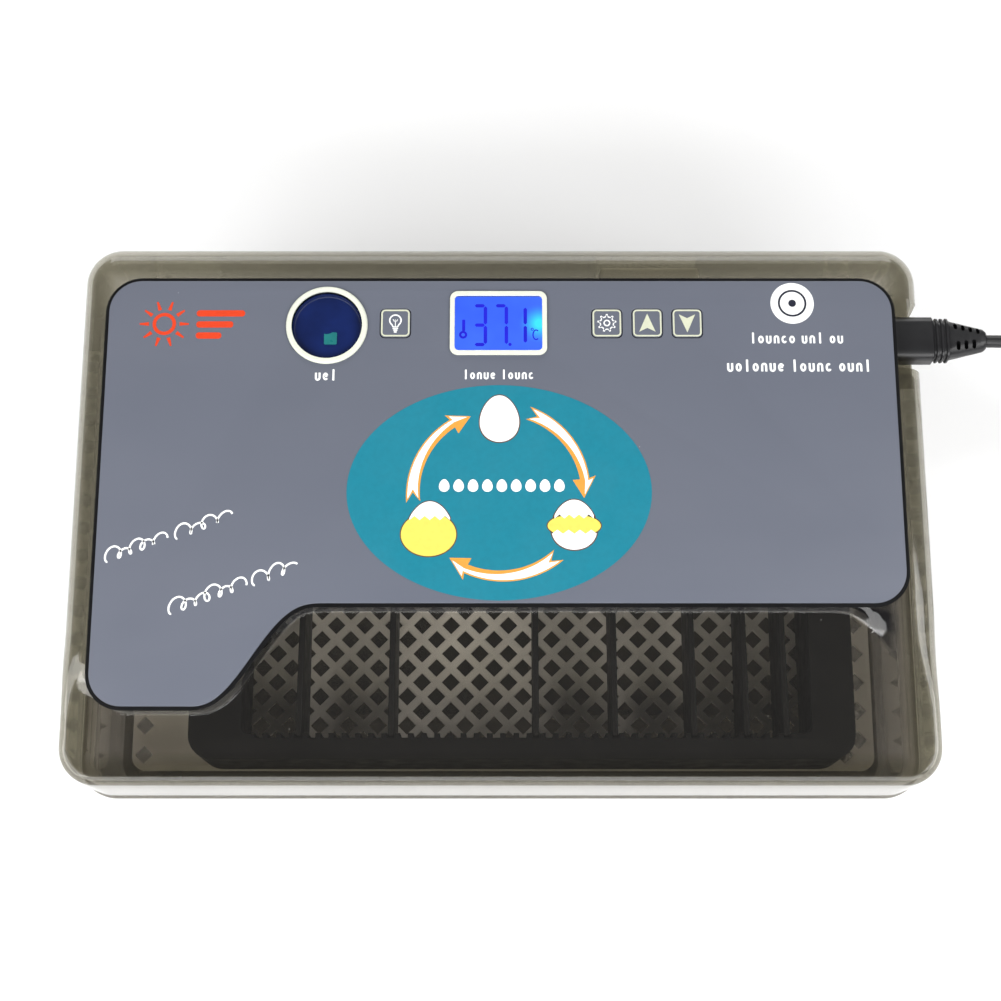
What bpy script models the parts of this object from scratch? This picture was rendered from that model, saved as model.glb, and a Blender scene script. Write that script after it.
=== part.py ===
"""Tabletop egg incubator with a lift-off lid, an automatic egg turner and its mains lead.

The base tub holds water channels, a raised mesh floor and a sliding egg frame with loose
dividers. The smoky lid carries the control panel, the electronics in a shallow housing, the
circulation fan, the heating ring and the gearbox whose pinion drives the rack on the egg frame.
The lead plugs into a recess in the lid's right side and lies coiled beside the incubator.

Frame: the origin is on the table under the middle of the tub, +X to the right, +Y to the back,
+Z up. Everything is in metres.
"""
import math

import bmesh
import bpy
from mathutils import Vector
from mathutils.geometry import delaunay_2d_cdt

mm = 0.001
FIT_GAP = 0.3 * mm                  # clearance left between pieces that touch

# Driving dimensions of the case
LID_X = 330 * mm
LID_Y = 213 * mm
LID_CORNER = 14.5 * mm
LID_WALL = 2.0 * mm
LID_FILLET = 10 * mm                # round between the lid's top and its side
FRONT_FILLET = 4 * mm               # the same round the lower front
FILLET_CHANGE_Y = (-45 * mm, -85 * mm)
LID_SKIRT_Z = 92 * mm
PLATEAU_Z = 141 * mm                # top of the raised part that carries the panel
WINDOW_Z = 136 * mm                 # top of the lower, see-through front part
BASE_X = 312 * mm
BASE_Y = 195 * mm
BASE_CORNER = 9 * mm                # at the bottom
BASE_DRAFT = 6 * mm                 # how far each wall leans out over its height
BASE_WALL = 2.3 * mm
BASE_BOTTOM_Z = 3 * mm
BASE_FLOOR_Z = 5.5 * mm
FLANGE_Z = 88 * mm                  # underside of the ledge that the lid stands on
LIP_TOP_Z = 96 * mm
MESH_Z = 54 * mm                    # underside of the mesh floor
MESH_THICKNESS = 2 * mm
LATTICE_PITCH = 34.8 * mm

# Step between the plateau and the window, as depth positions along the width
LOBE_Y = -79.1 * mm                 # front edge of the plateau's left lobe
EDGE_Y = -40.1 * mm                 # front edge of the plateau over the window
S_START_X = -116.5 * mm
S_END_X = -67.5 * mm
STEP_RUN = 1.8 * mm                 # horizontal run of the step
S_EXTRA_RUN = 3.2 * mm
RIGHT_BLEND_X = 126 * mm            # outside these two, the step flattens into the rim
LEFT_BLEND_X = -138 * mm
SIDE_BLEND_Y = -84.4 * mm

# Panel and what shows on it
PANEL_X = 153.3 * mm                # half width
PANEL_BACK_Y = 90 * mm
PANEL_THICKNESS = 0.9 * mm
PANEL_Z = PLATEAU_Z + FIT_GAP
PANEL_TOP_Z = PANEL_Z + PANEL_THICKNESS
PANEL_CORNER = 12.5 * mm
LCD_AT = (-0.8 * mm, 72.3 * mm)
LCD_GLASS = (34 * mm, 22.4 * mm)
LCD_FRAME = (38 * mm, 26.5 * mm)
CANDLER_AT = (-67.9 * mm, 71.5 * mm)
CANDLER_RING_R = 16 * mm
CANDLER_LENS_R = 13.7 * mm
KEY_SIZE = 11.6 * mm
KEY_TRAVEL = 0.4 * mm
KEY_Y = 72.3 * mm
KEYS = (("key_light", -41.1 * mm), ("key_set", 41.6 * mm),
        ("key_up", 57.4 * mm), ("key_down", 73.0 * mm))

# Electronics housing under the plateau
HOUSING_X = 146 * mm                # half width
HOUSING_BACK_Y = 90 * mm
HOUSING_Z = 128 * mm
HOUSING_FLOOR = 2 * mm
HOUSING_TOP_Z = PLATEAU_Z - LID_WALL - 1.0 * mm
PCB_Z = 131.3 * mm
PCB_THICKNESS = 1.6 * mm
PCB_TOP_Z = PCB_Z + PCB_THICKNESS
SWITCH_TOP_Z = 135.2 * mm
KEY_STEM_Z = SWITCH_TOP_Z + KEY_TRAVEL + 0.1 * mm
LCD_SHOULDER_Z = 138.4 * mm
LED_TOP_Z = 138 * mm
SUPPLY_TOP_Z = 138 * mm

# Air circulation and heat
FAN_AT = (0 * mm, 18 * mm)
FAN_SIZE = 60 * mm
FAN_BORE_R = 28 * mm
FAN_DEPTH = 15 * mm
FAN_TOP_Z = HOUSING_Z - FIT_GAP
HEATER_R = 50 * mm
HEATER_WIRE_R = 2.2 * mm
HEATER_Z = 118 * mm

# Egg frame, its dividers and the turner drive
FRAME_LEFT = -124.2 * mm
FRAME_RIGHT = 141.2 * mm
FRAME_Y = 91.5 * mm                 # half depth outside
BAY_LEFT = -103.1 * mm
BAY_RIGHT = 123.8 * mm
BAY_Y = 81 * mm                     # half depth inside
FRAME_Z = 57 * mm
FRAME_HEIGHT = 33 * mm
SLOT_PITCH = 5.25 * mm
SLOT_COUNT = 41
FIRST_SLOT_X = 113.9 * mm
SLOT_WIDTH = 3.0 * mm
SLOT_DEPTH = 1.8 * mm
DIVIDER_SLOTS = (37, 30, 19, 13, 7, 3, 0)
DIVIDER_THICKNESS = 2.4 * mm
PINION_X = 60 * mm
PINION_Y = 87 * mm
PINION_TEETH = 16
GEAR_MODULE = 1.5 * mm
PINION_R = PINION_TEETH * GEAR_MODULE / 2
GEAR_PITCH = math.pi * GEAR_MODULE
ADDENDUM = 1.2 * mm
DEDENDUM = 1.9 * mm
BACKLASH = 0.35 * mm
PRESSURE_ANGLE = math.radians(20)
RACK_Z = FRAME_Z + FRAME_HEIGHT + FIT_GAP
RACK_PITCH_Z = RACK_Z + 1.2 * mm + DEDENDUM
PINION_Z = RACK_PITCH_Z + PINION_R
RACK_TEETH = 13

# Mains lead: its socket in the lid, its route along the table, its coil and its plug
NOTCH_X = 150.5 * mm
NOTCH_Y = (54.5 * mm, 83.5 * mm)
NOTCH_Z = 120 * mm
NOTCH_DRAFT = 0.8 * mm
PLUG_Y = 69 * mm
PLUG_Z = 131 * mm
INLET_SIZE = (22 * mm, 18 * mm, 12 * mm)
CORD_R = 2.5 * mm
CONNECTOR_END_X = 192 * mm
TABLE_CORD_Z = CORD_R + 0.1 * mm    # lowest the middle of the lead may lie
COIL_AT = (278 * mm, 20 * mm)
COIL_MEAN_R = 27.5 * mm
COIL_HALF_WIDTH = 7.5 * mm
COIL_HEIGHT = 9.6 * mm
COIL_START_R = 32.5 * mm
COIL_EXIT_R = 30 * mm
TIE_WIDTH = 6 * mm
MAINS_PLUG_AT = (304 * mm, -34 * mm)
MAINS_PLUG_Z = 7 * mm
CORD_ROUTE = (
    (192.3, 69.0, 130.6), (205, 69.0, 129.6), (219, 69.0, 124.4), (231, 69.0, 113.5),
    (240, 68.9, 98.0), (246.5, 68.7, 79.0), (251.5, 68.4, 58.0), (256.5, 67.8, 38.0),
    (264, 67.0, 19.5), (276, 65.5, 7.2), (289, 62.0, 2.6), (300.5, 55.0, 2.6), (307.5, 44.0, 2.6),
    (310.2, 32.0, 2.6), (310.5, 21.5, 2.6),
)
TAIL_ROUTE = (
    (307.9, 18.5, 7.4), (307.8, 10.0, 7.2), (307.0, 1.0, 7.0), (305.6, -8.0, 7.0),
    (304.4, -17.0, 7.0), (304.0, -25.7, 7.0),
)

MATERIAL_LOOKS = {                  # base colour, roughness, metallic, alpha
    "smoky_plastic": ((0.14, 0.12, 0.09), 0.12, 0.0, 0.45),
    "panel_film": ((0.17, 0.19, 0.24), 0.35, 0.0, 1.0),
    "black_plastic": ((0.012, 0.012, 0.014), 0.45, 0.0, 1.0),
    "ivory_plastic": ((0.80, 0.80, 0.66), 0.40, 0.0, 1.0),
    "mesh_plastic": ((0.72, 0.68, 0.60), 0.50, 0.0, 1.0),
    "rubber": ((0.03, 0.03, 0.03), 0.85, 0.0, 1.0),
    "cord_rubber": ((0.02, 0.02, 0.022), 0.50, 0.0, 1.0),
    "lens": ((0.01, 0.05, 0.16), 0.08, 0.0, 1.0),
    "display": ((0.02, 0.10, 0.90), 0.10, 0.0, 1.0),
    "led": ((0.05, 0.35, 0.30), 0.30, 0.0, 1.0),
    "circuit_board": ((0.02, 0.18, 0.07), 0.40, 0.0, 1.0),
    "steel": ((0.60, 0.60, 0.60), 0.30, 1.0, 1.0),
    "gear_plastic": ((0.78, 0.76, 0.70), 0.45, 0.0, 1.0),
}


# ---------------------------------------------------------------- scene and collections

def clear_scene():
    """Remove what the file already holds."""
    for old in list(bpy.data.objects):
        bpy.data.objects.remove(old, do_unlink=True)


def make_collection(name):
    """A collection linked to the scene."""
    found = bpy.data.collections.get(name)
    if found is None:
        found = bpy.data.collections.new(name)
        bpy.context.scene.collection.children.link(found)
    return found


clear_scene()
PARTS = make_collection("egg_incubator")
CUTTERS = make_collection("cutters")


def material(name):
    """The named material, made on first use."""
    found = bpy.data.materials.get(name)
    if found is not None:
        return found
    colour, roughness, metallic, alpha = MATERIAL_LOOKS[name]
    made = bpy.data.materials.new(name)
    made.use_nodes = True
    shader = made.node_tree.nodes["Principled BSDF"]
    shader.inputs["Base Color"].default_value = (*colour, 1.0)
    shader.inputs["Roughness"].default_value = roughness
    shader.inputs["Metallic"].default_value = metallic
    shader.inputs["Alpha"].default_value = alpha
    made.diffuse_color = (*colour, alpha)
    return made


def axis_empty(name, location):
    """An empty on a joint's axis, the parent of one moving body."""
    empty = bpy.data.objects.new(name, None)
    empty.location = location
    empty.empty_display_size = 0.02
    PARTS.objects.link(empty)
    return empty


def add_object(name, data, look, location=(0, 0, 0), rotation=(0, 0, 0), body=None):
    """Link an object for one sub-part; its location is in world coordinates."""
    obj = bpy.data.objects.new(name, data)
    if look is not None:
        obj.data.materials.append(material(look))
    obj.rotation_euler = rotation
    obj.location = Vector(location)
    if body is not None:
        obj.parent = body
        obj.location = Vector(location) - body.location
    PARTS.objects.link(obj)
    return obj


def smooth(mesh, angle=35):
    """Smooth shading with edges sharper than the angle kept."""
    mesh.shade_smooth()
    mesh.set_sharp_from_angle(angle=math.radians(angle))


def as_tool(obj):
    """Move an object to the cutters, where it only shapes others."""
    for user in list(obj.users_collection):
        user.objects.unlink(obj)
    CUTTERS.objects.link(obj)
    obj.hide_render = True
    obj.display_type = "WIRE"
    return obj


def boolean(obj, tool, operation):
    """Join a tool to an object, or cut it away."""
    step = obj.modifiers.new(operation.lower(), "BOOLEAN")
    step.operation = operation
    step.solver = "EXACT"
    step.object = as_tool(tool)


def join_meshes(name, objects, look=None):
    """One object from several separate ones, used as a single tool."""
    joined = bpy.data.meshes.new(name)
    work = bmesh.new()
    for obj in objects:
        start = len(work.verts)
        work.from_mesh(obj.data)
        work.verts.ensure_lookup_table()
        bmesh.ops.transform(work, matrix=obj.matrix_basis, verts=work.verts[start:])
        bpy.data.objects.remove(obj, do_unlink=True)
    work.to_mesh(joined)
    work.free()
    return add_object(name, joined, look)


# ---------------------------------------------------------------- outlines

def clamp(value):
    """Limit to the range from 0 to 1."""
    return max(0.0, min(1.0, value))


def ease(value):
    """Smooth ramp from 0 to 1 with flat ends."""
    value = clamp(value)
    return value * value * value * (value * (6 * value - 15) + 10)


def arc(centre, radius, start, end, steps):
    """Points along an arc, angles in degrees."""
    points = []
    for i in range(steps + 1):
        angle = math.radians(start + (end - start) * i / steps)
        points.append((centre[0] + radius * math.cos(angle), centre[1] + radius * math.sin(angle)))
    return points


def circle(centre, radius, steps):
    """Closed circle, counter-clockwise."""
    return arc(centre, radius, 0, 360 - 360 / steps, steps - 1)


def rounded_rect(size_x, size_y, radius, centre=(0, 0), steps=5):
    """Closed rounded rectangle, counter-clockwise."""
    points = []
    for quadrant, (sign_x, sign_y) in enumerate(((1, 1), (-1, 1), (-1, -1), (1, -1))):
        corner = (centre[0] + sign_x * (size_x / 2 - radius), centre[1] + sign_y * (size_y / 2 - radius))
        points += arc(corner, radius, 90 * quadrant, 90 * quadrant + 90, steps)
    return points


def rectangle(low, high):
    """Closed rectangle between two corners, counter-clockwise."""
    return [(low[0], low[1]), (high[0], low[1]), (high[0], high[1]), (low[0], high[1])]


def step_top_y(x):
    """Front edge of the plateau at a width position."""
    edge = LOBE_Y + (EDGE_Y - LOBE_Y) * ease((x - S_START_X) / (S_END_X - S_START_X))
    if x < LEFT_BLEND_X:
        edge += 26 * mm * ease((LEFT_BLEND_X - x) / (LID_X / 2 + LEFT_BLEND_X))
    if x > RIGHT_BLEND_X:
        edge += 6 * mm * ease((x - RIGHT_BLEND_X) / (LID_X / 2 - RIGHT_BLEND_X))
    return edge


def step_bottom_y(x):
    """Foot of the step at a width position."""
    middle = (S_START_X + S_END_X) / 2
    along_s = clamp(1 - abs(x - middle) / (S_END_X - middle))
    edge = step_top_y(x) - STEP_RUN - S_EXTRA_RUN * ease(along_s)
    if x > RIGHT_BLEND_X:
        edge += (SIDE_BLEND_Y - edge) * ease((x - RIGHT_BLEND_X) / (LID_X / 2 - RIGHT_BLEND_X))
    if x < LEFT_BLEND_X:
        edge += (SIDE_BLEND_Y - edge) * ease((LEFT_BLEND_X - x) / (LID_X / 2 + LEFT_BLEND_X))
    return edge


def s_outline(half_x, back_y, inset, corner, front_corner, cut=None):
    """Closed outline under the plateau: straight sides and back, S-shaped front, clockwise from
    the back left. The front keeps the inset from the plateau's edge; cut is a bite in the right
    side, as its inner x and its two y ends."""
    front = LOBE_Y + inset
    right_front = EDGE_Y + inset
    points = arc((-half_x + corner, back_y - corner), corner, 180, 90, 4)
    points += arc((half_x - corner, back_y - corner), corner, 90, 0, 4)
    if cut is not None:
        inner_x, high_y, low_y = cut
        points += [(half_x, high_y), (inner_x, high_y), (inner_x, low_y), (half_x, low_y)]
    points += arc((half_x - front_corner, right_front + front_corner), front_corner, 0, -90, 5)
    for i in range(15):
        x = S_END_X + (S_START_X - S_END_X) * i / 14
        slide = inset * 0.9 * math.sin(math.pi * i / 14)
        points.append((x - slide, step_top_y(x) + inset * (1 - 0.5 * math.sin(math.pi * i / 14))))
    points += arc((-half_x + front_corner, front + front_corner), front_corner, 270, 180, 5)
    return points


# ---------------------------------------------------------------- shape makers

def face_outwards(work):
    """Turn a closed skin's faces to the outside."""
    if work.calc_volume(signed=True) < 0:
        bmesh.ops.reverse_faces(work, faces=work.faces)


def plate(name, loops, thickness, look, location=(0, 0, 0), rotation=(0, 0, 0), body=None):
    """Flat piece from closed outlines, the later ones being holes; its underside is local z 0."""
    curve = bpy.data.curves.new(name, "CURVE")
    curve.dimensions = "2D"
    curve.fill_mode = "BOTH"
    curve.extrude = thickness / 2
    for loop in loops:
        spline = curve.splines.new("POLY")
        spline.points.add(len(loop) - 1)
        for point, (x, y) in zip(spline.points, loop):
            point.co = (x, y, 0, 1)
        spline.use_cyclic_u = True
    drawn = bpy.data.objects.new(name + "_outline", curve)
    PARTS.objects.link(drawn)
    depsgraph = bpy.context.evaluated_depsgraph_get()
    mesh = bpy.data.meshes.new_from_object(drawn.evaluated_get(depsgraph))
    bpy.data.objects.remove(drawn, do_unlink=True)
    work = bmesh.new()
    work.from_mesh(mesh)
    bmesh.ops.remove_doubles(work, verts=work.verts, dist=1e-6)
    bmesh.ops.translate(work, vec=(0, 0, thickness / 2), verts=work.verts)
    bmesh.ops.recalc_face_normals(work, faces=work.faces)
    face_outwards(work)
    work.to_mesh(mesh)
    work.free()
    mesh.materials.clear()
    smooth(mesh)
    return add_object(name, mesh, look, location, rotation, body)


def loft(name, sections, look, location=(0, 0, 0), body=None):
    """Closed skin through sections of (outline, z) with equal point counts, capped at both ends."""
    mesh = bpy.data.meshes.new(name)
    work = bmesh.new()
    rings = []
    for outline, z in sections:
        rings.append([work.verts.new((x, y, z)) for x, y in outline])
    for low, high in zip(rings, rings[1:]):
        count = len(low)
        for i in range(count):
            j = (i + 1) % count
            work.faces.new((low[i], low[j], high[j], high[i]))
    work.faces.new(list(reversed(rings[0])))
    work.faces.new(rings[-1])
    face_outwards(work)
    work.to_mesh(mesh)
    work.free()
    smooth(mesh)
    return add_object(name, mesh, look, location, (0, 0, 0), body)


def turned(name, profile, look, location=(0, 0, 0), rotation=(0, 0, 0), body=None, steps=24,
           closed=False):
    """Turned piece: a profile of (radius, z), from the top down its outer side."""
    mesh = bpy.data.meshes.new(name)
    verts = [(radius, 0, z) for radius, z in profile]
    edges = [(i, i + 1) for i in range(len(profile) - 1)]
    if closed:
        edges.append((len(profile) - 1, 0))
    mesh.from_pydata(verts, edges, [])
    obj = add_object(name, mesh, look, location, rotation, body)
    screw = obj.modifiers.new("turn", "SCREW")
    screw.axis = "Z"
    screw.angle = math.tau
    screw.steps = steps
    screw.render_steps = steps
    screw.use_merge_vertices = True
    screw.merge_threshold = 0.00001
    screw.use_smooth_shade = True
    return obj


def box(name, low, high, look, body=None, bevel=0.0, segments=2):
    """Box between two corners, in world coordinates, with optional rounded edges."""
    size = [b - a for a, b in zip(low, high)]
    centre = [(a + b) / 2 for a, b in zip(low, high)]
    mesh = bpy.data.meshes.new(name)
    work = bmesh.new()
    bmesh.ops.create_cube(work, size=1.0)
    bmesh.ops.scale(work, vec=size, verts=work.verts)
    work.to_mesh(mesh)
    work.free()
    obj = add_object(name, mesh, look, centre, (0, 0, 0), body)
    if bevel > 0:
        rounding = obj.modifiers.new("rounded_edges", "BEVEL")
        rounding.width = bevel
        rounding.segments = segments
        rounding.limit_method = "NONE"
    return obj


def cylinder(name, radius, low, high, look=None, body=None, steps=16, axis="Z"):
    """Cylinder between two points that differ only along its axis."""
    mesh = bpy.data.meshes.new(name)
    work = bmesh.new()
    length = (Vector(high) - Vector(low)).length
    bmesh.ops.create_cone(work, cap_ends=True, segments=steps, radius1=radius, radius2=radius,
                          depth=length)
    work.to_mesh(mesh)
    work.free()
    smooth(mesh)
    turn = {"Z": (0, 0, 0), "Y": (math.pi / 2, 0, 0), "X": (0, math.pi / 2, 0)}[axis]
    return add_object(name, mesh, look, (Vector(low) + Vector(high)) / 2, turn, body)


def smooth_route(points, spacing):
    """Points at an even spacing along a smooth curve through the given ones, none of them under
    the height of a lead that lies on the table."""
    knots = [Vector(p) * mm for p in points]
    knots = [2 * knots[0] - knots[1]] + knots + [2 * knots[-1] - knots[-2]]
    fine = []
    for a, b, c, d in zip(knots, knots[1:], knots[2:], knots[3:]):
        for i in range(12):
            t = i / 12
            fine.append(0.5 * (2 * b + (c - a) * t + (2 * a - 5 * b + 4 * c - d) * t * t
                               + (3 * b - a - 3 * c + d) * t * t * t))
    fine.append(knots[-2])
    length = sum((q - p).length for p, q in zip(fine, fine[1:]))
    count = max(2, round(length / spacing))
    even = [fine[0]]
    target = length / count
    walked = 0.0
    for p, q in zip(fine, fine[1:]):
        step = (q - p).length
        while walked + step >= target * len(even) and len(even) < count:
            even.append(p.lerp(q, (target * len(even) - walked) / step))
        walked += step
    even.append(fine[-1])
    return [Vector((p.x, p.y, max(p.z, TABLE_CORD_Z))) for p in even]


def tube(name, points, radius, look, body=None, resolution=2):
    """Round rod along a line of points, with closed ends."""
    curve = bpy.data.curves.new(name, "CURVE")
    curve.dimensions = "3D"
    curve.bevel_depth = radius
    curve.bevel_resolution = resolution
    curve.use_fill_caps = True
    spline = curve.splines.new("POLY")
    spline.points.add(len(points) - 1)
    for point, place in zip(spline.points, points):
        point.co = (*place, 1)
    return add_object(name, curve, look, (0, 0, 0), (0, 0, 0), body)


# ---------------------------------------------------------------- base, feet and mesh floor

def base_outline(z, inset=0.0, steps=5):
    """Outside of the tub's leaning wall at a height, less an inset."""
    lean = BASE_DRAFT * (z - BASE_BOTTOM_Z) / (FLANGE_Z - BASE_BOTTOM_Z)
    corner = BASE_CORNER + lean - inset
    return rounded_rect(BASE_X + 2 * (lean - inset), BASE_Y + 2 * (lean - inset), corner, steps=steps)


def make_base():
    """Tub with the ledge for the lid, water channel ribs and pillars for the mesh floor."""
    lip_x = LID_X - 2 * LID_WALL - 3 * mm
    lip_y = LID_Y - 2 * LID_WALL - 3 * mm
    ledge = rounded_rect(LID_X, LID_Y, LID_CORNER)
    lip = rounded_rect(lip_x, lip_y, LID_CORNER - 3.5 * mm)
    lip_inner = rounded_rect(lip_x - 2 * BASE_WALL, lip_y - 2 * BASE_WALL, LID_CORNER - 6 * mm)
    ledge_top = LID_SKIRT_Z - FIT_GAP
    tub = loft("base_tub", [
        (base_outline(BASE_BOTTOM_Z), BASE_BOTTOM_Z),
        (base_outline(FLANGE_Z), FLANGE_Z),
        (ledge, FLANGE_Z),
        (ledge, ledge_top),
        (lip, ledge_top),
        (lip, LIP_TOP_Z),
        (lip_inner, LIP_TOP_Z),
        (lip_inner, FLANGE_Z),
        (base_outline(BASE_FLOOR_Z, BASE_WALL), BASE_FLOOR_Z),
    ], "smoky_plastic")
    rib_z = BASE_FLOOR_Z - 0.5 * mm
    rib_wall = 2 * mm
    ribs = []
    for i, centre_x in enumerate((-72 * mm, 72 * mm)):
        outer = rounded_rect(120 * mm, 130 * mm, 12 * mm, (centre_x, 0), 3)
        inner = rounded_rect(120 * mm - 2 * rib_wall, 130 * mm - 2 * rib_wall, 10 * mm, (centre_x, 0), 3)
        ribs.append(plate(f"water_rib_{i}", [outer, inner], 14 * mm, None, (0, 0, rib_z)))
    for x, depth in ((-140 * mm, 84 * mm), (0, 89 * mm), (140 * mm, 84 * mm)):
        for y in (-depth, depth):
            half = 3.5 * mm
            ribs.append(box("pillar", (x - half, y - half, rib_z),
                            (x + half, y + half, MESH_Z - FIT_GAP), None))
    boolean(tub, join_meshes("base_ribs", ribs), "UNION")


def make_feet():
    """Four rubber feet under the tub's corners."""
    height = BASE_BOTTOM_Z - FIT_GAP
    profile = [(0, height), (8 * mm, height), (8 * mm, 0.8 * mm), (7.2 * mm, 0), (0, 0)]
    places = ((-130, -75), (130, -75), (-130, 75), (130, 75))
    for i, (x, y) in enumerate(places):
        turned(f"foot_{i + 1}", profile, "rubber", (x * mm, y * mm, 0), steps=20)


def make_mesh_floor():
    """Raised floor with diamond openings."""
    outer = base_outline(MESH_Z, BASE_WALL + 1.0 * mm, 4)
    loops = [outer]
    half = LATTICE_PITCH / 2 - 3.3 * mm
    columns = 8
    rows = 5
    for i in range(-columns, columns + 1):
        for j in range(-rows, rows + 1):
            x = i * LATTICE_PITCH / 2
            y = j * LATTICE_PITCH / 2
            if (i + j) % 2 or abs(x) > 141 * mm or abs(y) > 82 * mm:
                continue
            loops.append([(x + half, y), (x, y + half), (x - half, y), (x, y - half)])
    plate("mesh_floor", loops, MESH_THICKNESS, "mesh_plastic", (0, 0, MESH_Z))


# ---------------------------------------------------------------- egg frame and turner

def slot_x(index):
    """Middle of a divider slot."""
    return FIRST_SLOT_X - index * SLOT_PITCH


def make_egg_frame(body):
    """Sliding frame whose long rails have slots for the dividers."""
    outer = rounded_rect(FRAME_RIGHT - FRAME_LEFT, 2 * FRAME_Y, 10 * mm,
                         ((FRAME_LEFT + FRAME_RIGHT) / 2, 0), 4)
    front = []
    for index in reversed(range(SLOT_COUNT)):
        left = slot_x(index) - SLOT_WIDTH / 2
        right = slot_x(index) + SLOT_WIDTH / 2
        deep = BAY_Y + SLOT_DEPTH
        front += [(left, -BAY_Y), (left, -deep), (right, -deep), (right, -BAY_Y)]
    bay = [(BAY_LEFT, -BAY_Y)] + front + [(BAY_RIGHT, -BAY_Y), (BAY_RIGHT, BAY_Y)]
    bay += [(x, -y) for x, y in reversed(front)] + [(BAY_LEFT, BAY_Y)]
    frame = plate("egg_frame", [outer, bay], FRAME_HEIGHT, "black_plastic", (0, 0, FRAME_Z), body=body)
    wall = 2.5 * mm
    low = FRAME_Z - 1 * mm
    high = FRAME_Z + FRAME_HEIGHT - wall
    rail_low = BAY_Y + SLOT_DEPTH + 2 * mm
    rail_high = FRAME_Y - wall
    hollows = [
        box("hollow_left", (FRAME_LEFT + wall, -75 * mm, low), (BAY_LEFT - wall, 75 * mm, high), None),
        box("hollow_right", (BAY_RIGHT + wall, -75 * mm, low), (FRAME_RIGHT - wall, 75 * mm, high), None),
        box("hollow_front", (BAY_LEFT, -rail_high, low), (BAY_RIGHT, -rail_low, high), None),
        box("hollow_back", (BAY_LEFT, rail_low, low), (BAY_RIGHT, rail_high, high), None),
    ]
    boolean(frame, join_meshes("frame_hollows", hollows), "DIFFERENCE")


def make_dividers():
    """Loose dividers that stand in the frame's slots, each free to be pulled up."""
    reach = BAY_Y + SLOT_DEPTH - 0.4 * mm
    height = FRAME_HEIGHT - 1 * mm
    chamfer = 6 * mm
    outline = [(-reach, 0), (reach, 0), (reach, height - 2 * mm), (reach - 2 * mm, height),
               (14 * mm, height), (8 * mm, height - chamfer), (-8 * mm, height - chamfer),
               (-14 * mm, height), (-reach + 2 * mm, height), (-reach, height - 2 * mm)]
    quarter = math.pi / 2
    for number, index in enumerate(DIVIDER_SLOTS):
        place = Vector((slot_x(index) - DIVIDER_THICKNESS / 2, 0, FRAME_Z + 0.5 * mm))
        body = axis_empty(f"divider_{number + 1}_axis", place)
        plate(f"divider_{number + 1}", [outline], DIVIDER_THICKNESS, "black_plastic", place,
              (quarter, 0, quarter), body)


def rack_outline():
    """Side view of the rack: teeth upwards, a gap centred under the pinion."""
    half_tooth = GEAR_PITCH / 4 - BACKLASH / 2
    slope = math.tan(PRESSURE_ANGLE)
    base = -DEDENDUM - 1.2 * mm
    first = -GEAR_PITCH * 4.5
    points = []
    for i in range(RACK_TEETH):
        x = first + i * GEAR_PITCH
        foot = half_tooth + DEDENDUM * slope
        tip = half_tooth - ADDENDUM * slope
        points += [(x - foot, -DEDENDUM), (x - tip, ADDENDUM), (x + tip, ADDENDUM), (x + foot, -DEDENDUM)]
    left = points[0][0] - 1.5 * mm
    right = points[-1][0] + 1.5 * mm
    return [(left, base), (left, -DEDENDUM)] + points + [(right, -DEDENDUM), (right, base)]


def gear_outline():
    """Involute pinion with one tooth pointing straight down."""
    base_r = PINION_R * math.cos(PRESSURE_ANGLE)
    root_r = PINION_R - DEDENDUM
    tip_r = PINION_R + ADDENDUM
    half_angle = math.pi / (2 * PINION_TEETH) - BACKLASH / (2 * PINION_R)
    roll = math.tan(PRESSURE_ANGLE) - PRESSURE_ANGLE
    flank = []
    for i in range(5):
        radius = base_r + (tip_r - base_r) * i / 4
        turn = math.acos(min(1.0, base_r / radius))
        flank.append((radius, half_angle + roll - (math.tan(turn) - turn)))
    flank.insert(0, (root_r, flank[0][1]))
    points = []
    for tooth in range(PINION_TEETH):
        middle = math.tau * tooth / PINION_TEETH - math.pi / 2
        for radius, angle in flank:
            points.append((radius, middle - angle))
        for radius, angle in reversed(flank):
            points.append((radius, middle + angle))
    return [(r * math.cos(a), r * math.sin(a)) for r, a in points]


def make_turner(lid, tray):
    """Rack on the frame's back rail, pinion on its shaft, and the gearbox that drives it."""
    upright = (math.pi / 2, 0, 0)
    plate("tray_rack", [rack_outline()], 6 * mm, "gear_plastic",
          (PINION_X, PINION_Y + 3 * mm, RACK_PITCH_Z), upright, tray)
    pivot = axis_empty("pinion_axis", (PINION_X, PINION_Y, PINION_Z))
    bore = circle((0, 0), 2.3 * mm, 12)
    plate("turner_pinion", [gear_outline(), bore], 5 * mm, "gear_plastic",
          (PINION_X, PINION_Y + 2.5 * mm, PINION_Z), upright, pivot)
    gearbox = box("turner_gearbox", (PINION_X - 20 * mm, 92 * mm, 97.5 * mm),
                  (PINION_X + 20 * mm, 102 * mm, HOUSING_Z - FIT_GAP), "gear_plastic", lid, 1.5 * mm)
    shaft = cylinder("turner_shaft", 2.0 * mm, (PINION_X, 82 * mm, PINION_Z),
                     (PINION_X, 94 * mm, PINION_Z), steps=12, axis="Y")
    boolean(gearbox, shaft, "UNION")


# ---------------------------------------------------------------- lid

def outline_distance(x, y):
    """Distance inwards from the lid's outside in plan."""
    dx = abs(x) - (LID_X / 2 - LID_CORNER)
    dy = abs(y) - (LID_Y / 2 - LID_CORNER)
    outside = math.hypot(max(dx, 0), max(dy, 0))
    return LID_CORNER - outside - min(max(dx, dy), 0)


def fillet_at(y):
    """Radius of the lid's rounded edge at a depth position."""
    back, front = FILLET_CHANGE_Y
    return LID_FILLET + (FRONT_FILLET - LID_FILLET) * ease((back - y) / (back - front))


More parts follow.
